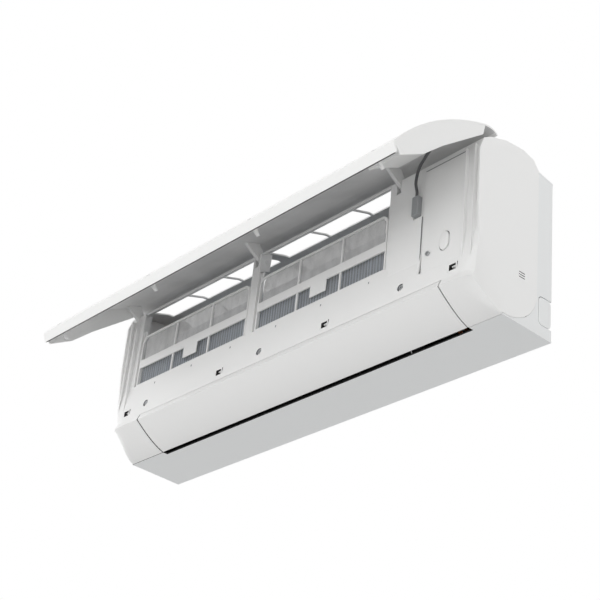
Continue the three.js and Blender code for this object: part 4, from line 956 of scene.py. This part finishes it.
@dataclass
class Casing(Unit):
    """The white front frame, the base with its rim, the catches, screws and knock-outs."""

    cheek: LowerCheek = field(default_factory=LowerCheek)
    button: Button = field(default_factory=Button)
    edge: float = 0.5  # rounding of the casing's edges
    cover_edge: float = 0.4
    catch_edge: float = 0.3
    screw_edge: float = 0.2
    end_step: float = 0.35  # the small step near the frame's ends that is taken flush
    end_band: float = 0.3  # edges this near to an end belong to it
    cut_past: float = 1.0  # cuts go this far past the cheeks' reach
    cut_over: float = 6.0  # and this far over their top
    slice_over: float = 40.0  # the cuts across X go higher still by this
    band: tuple = ((50.4, 118.0), (-156.0, -147.0))  # the front band's edges, z and y
    louver_ends: tuple = (357.5, -330.5)  # where the frame faces the louver's ends
    gap_near: float = 1.5
    gap_top: float = 52.0
    slit_x: float = 414.0  # the side slits lie past this
    slit_y: tuple = (-70.0, -56.0)
    slit_z: tuple = (73.0, 84.0)
    screws: tuple = (-323.7, -30.3, 275.1)
    screw_height: float = 70.7
    well_radius: float = 6.4
    well_y: tuple = (-160.0, -140.0)
    well_slope: float = 0.6  # the share of y in the normals of a well's floor, at the least
    duct_x: tuple = (-379.0, 237.0)
    duct_back: float = -30.5
    duct_z: tuple = (1.2, 110.0)
    duct_floor: float = 22.0  # faces under this height count only where they don't look down
    pocket_y: float = -153.4  # a catch's pocket is painted dark behind this, as the shade in it
    latch: tuple = (4.6, (-150.6, -146.6), (66.6, 69.4))  # half its width, y and z
    foot_bar: tuple = (5.8, (-151.4, -147.4), (60.6, 62.6))
    cover_left: float = 307.8  # the service cover's edge, left of which its points give way
    cover_bottom: float = 80.5
    cover_gaps: tuple = (1.2, 1.0)  # how far they do, at the left and at the bottom
    plate_outline: tuple = ((243, 80), (305.4, 80), (305.4, 178), (288, 178), (288, 209), (243, 209))
    plate_y: tuple = (-149.2, -146.8)
    plate_shadow: float = 300.0  # the plate's end faces right of this, in the cover's gap, are painted grey as shade
    seal: tuple = ((308.5, 388.0), (-148.6, -146.9), (252.3, 253.3))  # x, y and z of a grey strip painted as the shade in the cover's top gap
    tick_places: tuple = (-312.9, -213.1, -112.4, -1.9, 100.7, 203.4)
    tick_height: float = 106.6
    tick_half: tuple = (1.0, 2.2)  # half a mark's width and height
    tick_y: tuple = (-0.15, 1.0)  # from the band's surface
    knock_out_share: tuple = (0.94, 0.965)  # a pipe cover's depth and height over its opening's

    def frame_shell(self) -> bpy.types.Object:
        """The front frame with rounded edges and with its lower cheeks rounded into the ends.

        Returns:
            The shell, which stands for the frame.
        """
        copy = self.copied("front_frame", flush=self.end_step)
        self.mark_edges(copy)
        plain = bevelled(make_object("frame_plain", copy, WHITE.make()), self.edge)
        plain.modifiers["edge_round"].limit_method = "WEIGHT"
        # the gaps at the louver's ends and the side slits are painted dark, as shade
        line_with(plain.data, DARK, self.dark_gaps)
        # the screw recesses' walls are painted grey, as the shade in them
        line_with(plain.data, GREY, self.screw_wells)
        graph = bpy.context.evaluated_depsgraph_get()
        mesh = bpy.data.meshes.new_from_object(plain.evaluated_get(graph))
        bpy.data.objects.remove(plain)
        across, others = self.cheek.planes()
        near_end = (RIGHT - self.cheek.reach - self.cut_past) / 1000
        low = (self.cheek.top + self.cut_over - UNDERSIDE) / 1000
        cut_planes(mesh, across, lambda c: c.z < low + self.slice_over / 1000)
        cut_planes(mesh, others, lambda c: abs(c.x) > near_end and c.z < low)
        move_points(mesh, place(self.cheek.bent(drawn(points_of(mesh)))))
        tidy(mesh, 30.0)
        thing = bpy.data.objects.new("front_frame_look", mesh)
        bpy.context.scene.collection.objects.link(thing)
        even = thing.modifiers.new("even_normals", "WEIGHTED_NORMAL")
        even.keep_sharp = True
        return self.stands_for(thing, "front_frame")

    def mark_edges(self, mesh: bpy.types.Mesh) -> None:
        """Marks the sharp edges that get rounded: all but those that the cheek's bend rounds.

        Args:
            mesh: the frame's mesh, changed in place.
        """
        work = bmesh.new()
        work.from_mesh(mesh)
        weight = work.edges.layers.float.new("bevel_weight_edge")
        low = (self.cheek.top - UNDERSIDE) / 1000
        end = (RIGHT - self.end_band) / 1000
        for edge in work.edges:
            a, b = (v.co for v in edge.verts)
            at_end = min(abs(a.x), abs(b.x)) > end and max(a.z, b.z) < low
            edge[weight] = 0.0 if edge.smooth or at_end else 1.0
        work.to_mesh(mesh)
        work.free()

    def dark_gaps(self, middle: np.ndarray, normal: np.ndarray) -> np.ndarray:
        """Picks the faces that look at the louver's ends, and the inside of the side slits, which are
        painted dark as the shade in those gaps.

        Args:
            middle: the faces' middles, millimetres.
            normal: their normals.

        Returns:
            True for the faces painted dark as shade.
        """
        x, y, z = middle.T
        ends = np.abs(middle[:, :1] - np.array(self.louver_ends)).min(axis=1) < self.gap_near
        ends &= (np.abs(normal[:, 0]) > LOOKS) & (z < self.gap_top)
        slits = (np.abs(x) > self.slit_x) & within(y, self.slit_y) & within(z, self.slit_z)
        return ends | (slits & (np.abs(normal[:, 0]) < LIES))

    def screw_wells(self, middle: np.ndarray, normal: np.ndarray) -> np.ndarray:
        """Picks the walls of the round recesses that the frame screws sit in, which are painted grey as the
        shade in them.

        Args:
            middle: the faces' middles, millimetres.
            normal: their normals.

        Returns:
            True for the wells' walls, painted grey as shade.
        """
        across = np.abs(middle[:, :1] - np.array(self.screws)).min(axis=1)
        away = np.hypot(across, middle[:, 2] - self.screw_height)
        near = (away < self.well_radius) & within(middle[:, 1], self.well_y)
        return near & (np.abs(normal[:, 1]) < self.well_slope)

    def duct(self, middle: np.ndarray, normal: np.ndarray) -> np.ndarray:
        """Picks the faces of the base that line the air's way to the outlet, painted dark as the shade
        inside it.

        Args:
            middle: the faces' middles, millimetres.
            normal: their normals.

        Returns:
            True for the faces along the air's way, painted dark as shade.
        """
        x, y, z = middle.T
        inside = within(x, self.duct_x) & (y < self.duct_back) & within(z, self.duct_z)
        return inside & ((normal[:, 2] > -LIES) | (z > self.duct_floor))

    def catch(self, index: int) -> None:
        """One panel catch: a socket whose pocket is painted dark as its shade, a latch at its top and a bar
        at its foot.

        Args:
            index: the catch's number, from the left.
        """
        node = f"panel_catch_{index}"
        # the socket's pocket is painted dark, as the shade in it
        self.rounded(node, WHITE, self.catch_edge, (DARK, lambda middle, _: middle[:, 1] > self.pocket_y))
        low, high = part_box(node)
        x = (low[0] + high[0]) / 2 * 1000
        parts = [block((x - half, x + half), y, z) for half, y, z in (self.latch, self.foot_bar)]
        self.added(f"catch_latch_{index}", parts, WHITE, Slot.WHITE, width=self.catch_edge)

    def cover(self) -> None:
        """The service cover, with a gap at its left and lower edge, and the manual button."""
        mesh = self.copied("service_cover")
        points = points_of(mesh)
        left = points[:, 0] < self.cover_left / 1000
        bottom = points[:, 2] < (self.cover_bottom - UNDERSIDE) / 1000
        points[:, 0] += np.where(left, self.cover_gaps[0] / 1000, 0.0)
        points[:, 2] += np.where(bottom, self.cover_gaps[1] / 1000, 0.0)
        move_points(mesh, points)
        look = make_object("service_cover_look", mesh, WHITE.make())
        self.stands_for(bevelled(look, self.cover_edge), "service_cover")
        points, faces = self.button.shape()
        dome = mesh_of("button_dome", [(place(points), faces)])
        tidy(dome, 50.0)
        self.stands_for(make_object("button_dome", dome, WHITE.make()), "manual_button")

    def bay_plate(self) -> None:
        """The raised plate between the right window and the service cover, with its end faces in the
        cover's gap painted grey as shade, and a grey strip painted as the shade in the cover's top gap.
        """
        x, z = np.array(self.plate_outline, dtype=float).T
        sheet = [np.column_stack([x, np.full(len(x), y), z]) for y in self.plate_y]
        plate = self.added("bay_plate", [closed(np.stack(sheet))], WHITE, Slot.WHITE, width=self.edge)
        # the plate's end faces in the cover's gap are painted grey, as shade
        line_with(plate.data, GREY, lambda m, n: (n[:, 0] > LOOKS) & (m[:, 0] > self.plate_shadow))
        # a grey strip painted as the shade in the service cover's top gap
        self.added("cover_top_gap_shade", [block(*self.seal)], GREY, Slot.DARK)

    def ticks(self) -> None:
        """The small moulded marks under the filter windows."""
        (wide, high), z = self.tick_half, self.tick_height
        face = float(np.interp(z, *self.band))
        span = (face + self.tick_y[0], face + self.tick_y[1])
        parts = [block((x - wide, x + wide), span, (z - high, z + high)) for x in self.tick_places]
        self.added("window_ticks", parts, GREY, Slot.WHITE)

    def knock_out(self, side: str) -> None:
        """A pipe cover a little smaller than its opening, so that the snap gap shows round it.

        Args:
            side: left or right.
        """
        mesh = self.copied(f"pipe_cover_{side}")
        points = points_of(mesh)
        middle = (points.min(axis=0) + points.max(axis=0)) / 2
        points[:, 1:] = middle[1:] + (points[:, 1:] - middle[1:]) * self.knock_out_share
        move_points(mesh, points)
        look = make_object(f"pipe_cover_{side}_look", mesh, BASE_WHITE.make())
        self.stands_for(bevelled(look, self.edge), f"pipe_cover_{side}")

    def build(self) -> None:
        """Builds the casing's pieces."""
        self.frame_shell()
        # the base's faces along the air's way to the outlet are painted dark, as shade
        self.rounded("rear_base", BASE_WHITE, self.edge, (DARK, self.duct))
        for side in ("left", "right"):
            self.knock_out(side)
        for i in range(1, 5):
            self.catch(i)
        for i in range(1, 4):
            self.rounded(f"frame_screw_{i}", STEEL, self.screw_edge)
        self.cover()
        self.bay_plate()
        self.ticks()
        self.rounded("cover_screw", STEEL, self.screw_edge)


@dataclass
class Inside(Unit):
    """The coil, the drain pan, the blower, the motors and the electrics."""

    fin_pitch: float = 1.8
    fin_thickness: float = 0.3

    def fins(self, node: str) -> bpy.types.Object:
        """One coil block as a row of thin upright plates, each with the block's outline.

        Args:
            node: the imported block.

        Returns:
            The fins, which stand for the block.
        """
        points = points_of(self.nodes[node].data) * 1000
        low, high = points[:, 0].min(), points[:, 0].max()
        plate, faces = bar(hull(points[:, 1:]), 0.0, self.fin_thickness)
        starts = np.arange(low, high - self.fin_thickness, self.fin_pitch)
        fresh = mesh_of(f"{node}_fins", [((plate + [x, 0, 0]) / 1000, faces) for x in starts])
        tidy(fresh, 30.0, weld=1e-7)
        return self.stands_for(make_object(f"{node}_fins", fresh, FIN_COAT.make()), node)

    def build(self) -> None:
        """Builds the fins and dresses the other inner parts."""
        for node in ("coil_lower", "coil_upper", "coil_rear"):
            self.fins(node)
        self.dress(COPPER, "coil_end_left", "coil_end_right", "gas_pipe", "liquid_pipe")
        self.dress(BRASS, "gas_nut", "liquid_nut")
        self.dress(BASE_WHITE, "drain_pan")
        self.dress(DARK, "blower_wheel", "terminal_block")
        self.dress(SHAFT, "motor_shaft")
        self.dress(RUBBER, "wheel_bearing")
        self.dress(STEEL, "blower_motor", "louver_motor", "wall_plate")
        self.dress(GREY, "motor_clamp", "electrical_box")
        self.dress(BOARD, "control_board")


@dataclass
class Outlet(Unit):
    """The louver, the vanes and their links."""

    edge: float = 0.5

    def build(self) -> None:
        """Builds the outlet's pieces."""
        self.rounded("louver", WHITE, self.edge)
        for side in ("left", "right"):
            self.dress(DARK, f"vane_link_{side}", *[f"vane_{side}_{i}" for i in range(1, 5)])


@dataclass
class Filters(Unit):
    """The two filter frames with their nets."""

    edge: float = 0.4

    def build(self) -> None:
        """Builds the filters."""
        for side in ("left", "right"):
            self.rounded(f"filter_frame_{side}", WHITE, self.edge)
            self.dress(NET, f"filter_net_{side}")


@dataclass
class Lead:
    """The display's lead: its route from the housing to its plug, with z over the underside."""

    radius: float = 2.2
    route: tuple = (
        (364.0, -186.3, 257.8),
        (364.0, -182.4, 260.9),
        (357.0, -180.5, 260.5),
        (344.5, -178.5, 257.5),
        (325.0, -171.0, 254.2),
        (308.0, -163.0, 251.0),
        (298.0, -157.0, 244.0),
        (294.3, -154.0, 233.0),
        (295.3, -152.0, 222.0),
        (295.3, -152.0, 213.3),
    )

    def path(self, count: int = 90) -> np.ndarray:
        """The natural cubic spline through the route over its chord length.

        The second derivatives M solve h0 M0 + 2 (h0 + h1) M1 + h1 M2 = 6 (s1 - s0) at each inner point,
        with h the chords and s the slopes, and are zero at both ends.

        Args:
            count: the points of the path.

        Returns:
            The points in row-frame metres.
        """
        knots = place(np.array(self.route))
        chord = np.linalg.norm(np.diff(knots, axis=0), axis=1)
        slope = np.diff(knots, axis=0) / chord[:, None]
        n = len(knots)
        system, right = np.eye(n), np.zeros((n, 3))
        inner = np.arange(1, n - 1)
        system[inner, inner - 1], system[inner, inner + 1] = chord[:-1], chord[1:]
        system[inner, inner] = 2 * (chord[:-1] + chord[1:])
        right[inner] = 6 * np.diff(slope, axis=0)
        bend = np.linalg.solve(system, right)
        start = np.concatenate([[0.0], np.cumsum(chord)])
        t = np.linspace(0, start[-1], count)
        k = np.clip(np.searchsorted(start, t, side="right") - 1, 0, n - 2)
        h, a, b = chord[k][:, None], (start[k + 1] - t)[:, None], (t - start[k])[:, None]
        curve = (bend[k] * a**3 + bend[k + 1] * b**3) / (6 * h)
        return curve + (knots[k] / h - bend[k] * h / 6) * a + (knots[k + 1] / h - bend[k + 1] * h / 6) * b


def tube(path: np.ndarray, radius: float, sides: int = 14) -> Shape:
    """A round tube along a path, closed at both ends.

    Each ring is p + r (n cos t + b sin t), with n carried along the path so that the tube doesn't twist.

    Args:
        path: the points, metres.
        radius: metres.
        sides: the corners of a ring.

    Returns:
        The vertices and the faces.
    """
    ahead = np.gradient(path, axis=0)
    ahead /= np.linalg.norm(ahead, axis=1, keepdims=True)
    side = np.cross(ahead[0], [0.3, 0.5, 0.8])
    sideways = []
    for direction in ahead:
        side = side - direction * (side @ direction)
        side = side / np.linalg.norm(side)
        sideways.append(side)
    n = np.array(sideways)
    b = np.cross(ahead, n)
    t = np.linspace(0, 2 * math.pi, sides, endpoint=False)[None, :, None]
    rings = path[:, None] + radius * (n[:, None] * np.cos(t) + b[:, None] * np.sin(t))
    return closed(rings)


@dataclass
class Panel(Unit):
    """The raised front panel with the display's housing and lead."""

    lead: Lead = field(default_factory=Lead)
    edge: float = 0.5
    small_edge: float = 0.6  # of the display's housing and the plug
    inner_facing: float = 0.3  # the share of y in the normals of the inner side, at the least
    inner_bottom: float = 58.0  # the inner side's lower and outer limits
    inner_end: float = 414.0
    seal_outline: tuple = ((-161.9, 51.4), (-160.9, 51.6), (-160.7, 54.0), (-162.2, 54.6))  # y and z of the dark strip painted as the shade line at the lip's edge
    seal_inset: float = 4.0  # from the panel's ends

    def inner_side(self, middle: np.ndarray, normal: np.ndarray) -> np.ndarray:
        """Picks the panel's faces that look at the frame when it is closed, without its lip and ends; they
        get a darker grey painted as shade.

        A normal's y with the panel closed is y' cos a - z' sin a.

        Args:
            middle: the faces' middles, millimetres.
            normal: their normals.

        Returns:
            True for the faces of the inner side, painted darker as shade.
        """
        turn = math.radians(PANEL_OPEN)
        facing = normal[:, 1] * math.cos(turn) - normal[:, 2] * math.sin(turn)
        height = swung(middle, -PANEL_OPEN)[:, 2]
        inside = (height > self.inner_bottom) & (np.abs(middle[:, 0]) < self.inner_end)
        return inside & (facing > self.inner_facing)

    def lip_seal(self) -> None:
        """A dark strip along the free edge of the panel's lower lip, painted as the shade line there."""
        outline = np.array(self.seal_outline)
        points, faces = bar(outline, LEFT + self.seal_inset, RIGHT - self.seal_inset)
        self.added("lip_seal", [(swung(points), faces)], DARK, Slot.DARK, Body.PANEL)

    def display_lead(self, plug: bpy.types.Object) -> None:
        """The lead from the display's housing to its plug, drawn in the raised pose.

        Args:
            plug: the lead's plug; not used.
        """
        path = self.lead.path()
        mesh = mesh_of("display_lead_look", [tube(path, self.lead.radius / 1000)])
        tidy(mesh, 60.0)
        lead = make_object("display_lead_look", mesh, LEAD_GREY.make())
        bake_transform(lead)
        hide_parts("display_lead")

    def build(self) -> None:
        """Builds the panel's pieces."""
        # the panel's inner side is painted a darker grey, as shade
        self.rounded("front_panel", WHITE, self.edge, (PANEL_INNER_SHADE, self.inner_side))
        self.lip_seal()
        self.rounded("display_housing", WHITE, self.small_edge)
        plug = self.rounded("lead_plug", GREY_WHITE, self.small_edge)
        self.display_lead(plug)


# ---------------------------------------------------------------- studio


@dataclass
class Studio:
    """The floor, the white surroundings, the lamps and the camera."""

    floor_height: float = -1.9
    eye: tuple[float, float, float] = (1.5625, -1.3552, -1.0965)
    yaw: float = 51.4
    pitch: float = 29.4
    roll: float = 6.13
    focal: float = 88.02  # mm of lens over a picture 36 mm wide
    sensor: float = 36.0
    far: float = 50.0
    lobes: tuple = (  # direction and strength of each soft share of the sky
        ((0.0, -1.0, 0.0), 0.38),
        ((0.0, -0.8, -0.6), 0.6),
        ((0.0, -0.3, -0.95), 1.15),
        ((1.0, 0.0, 0.0), 0.5),
        ((0.7, -0.7, -0.1), 0.15),
        ((0.7, -0.3, -0.65), 1.0),
        ((-0.7, -0.7, -0.1), 0.7),
        ((0.0, -0.7, 0.7), 0.12),
        ((0.0, 0.0, 1.0), 0.25),
        ((0.0, 1.0, 0.0), 0.5),
        ((-1.0, 0.0, 0.0), 1.25),
        ((0.0, 0.6, -0.8), 1.4),
        ((0.6, 0.6, -0.5), 0.6),
    )
    key_at: tuple[float, float, float] = (-0.9, -2.2, 2.6)
    key_to: tuple[float, float, float] = (0.1, -0.1, 0.0)
    key_size: float = 0.8
    key_power: float = 12.0
    floor_half: float = 6.0

    def camera(self) -> None:
        """Places the camera at the photograph's viewing angle.

        The view direction is (-sin yaw cos pitch, cos yaw cos pitch, sin pitch), and the picture's axes
        are turned by the roll about it.
        """
        yaw, pitch, roll = (math.radians(a) for a in (self.yaw, self.pitch, self.roll))
        ahead = Vector((-math.sin(yaw) * math.cos(pitch), math.cos(yaw) * math.cos(pitch), math.sin(pitch)))
        right = Vector((math.cos(yaw), math.sin(yaw), 0.0))
        up = right.cross(ahead)
        across = right * math.cos(roll) + up * math.sin(roll)
        above = up * math.cos(roll) - right * math.sin(roll)
        data = bpy.data.cameras.new("camera")
        data.lens = self.focal
        data.sensor_width = self.sensor
        data.clip_end = self.far
        thing = bpy.data.objects.new("camera", data)
        columns = Matrix((across, above, -ahead)).transposed()
        thing.matrix_world = Matrix.Translation(self.eye) @ columns.to_4x4()
        bpy.context.scene.collection.objects.link(thing)
        bpy.context.scene.camera = thing

    def sky(self) -> None:
        """Soft light from several sides, and plain white where the camera looks.

        Its strength towards a direction is the sum of w max(0, d . l)^2 over the lobes, where l is a
        lobe's direction of length 1 and w its strength.
        """
        world = bpy.data.worlds.new("studio")
        bpy.context.scene.world = world
        tree = Tree(world)
        direction = tree.node("ShaderNodeTexCoord")[0]
        strength: Term | float = 0.0
        for towards, weight in self.lobes:
            unit = tuple(np.asarray(towards) / np.linalg.norm(towards))
            dot = tree.node("ShaderNodeVectorMath", {"operation": "DOT_PRODUCT"}, direction, unit)[0]
            strength = strength + dot.clamped() ** 2.0 * weight
        light = tree.node("ShaderNodeBackground", {}, (1, 1, 1, 1), strength)[0]
        white = tree.node("ShaderNodeBackground", {}, (1, 1, 1, 1), 1.0)[0]
        path = tree.nodes.new("ShaderNodeLightPath")
        names = ("Is Camera Ray", "Is Glossy Ray", "Is Transmission Ray")
        camera, glossy, through = (Term(tree, path.outputs[name]) for name in names)
        shown = tree.node("ShaderNodeMixShader", {}, (camera + glossy + through).clamped(), light, white)[0]
        tree.node("ShaderNodeOutputWorld", {}, shown)

    def key_lamp(self) -> None:
        """Adds the one lamp, a soft square above the front."""
        data = bpy.data.lights.new("key_lamp", "AREA")
        data.shape = "SQUARE"
        data.size = self.key_size
        data.energy = self.key_power
        thing = bpy.data.objects.new("key_lamp", data)
        thing.location = self.key_at
        thing.rotation_mode = "QUATERNION"
        towards = Vector(self.key_to) - Vector(self.key_at)
        thing.rotation_quaternion = towards.to_track_quat("-Z", "Y")
        bpy.context.scene.collection.objects.link(thing)

    def floor(self) -> None:
        """Lays the plain pale floor."""
        side = np.array([-self.floor_half, self.floor_half])
        x, y = np.meshgrid(side, side)
        corners = np.stack([x, y, np.full((2, 2), self.floor_height)], axis=2)
        make_object("floor", mesh_of("floor", [grid(corners)]), FLOOR_PAINT.make())

    def build(self) -> None:
        """Builds the studio."""
        bpy.context.scene.view_settings.view_transform = "Standard"
        self.camera()
        self.sky()
        self.key_lamp()
        self.floor()
        LOG.info("studio built")


def main() -> None:
    """Builds the object on its frame, then the studio."""
    logging.basicConfig(level=logging.INFO, format="%(message)s")
    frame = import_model()
    for maker in (Casing, Inside, Outlet, Filters, Panel):
        maker(frame).build()
    Studio().build()


if __name__ == "__main__":
    main()
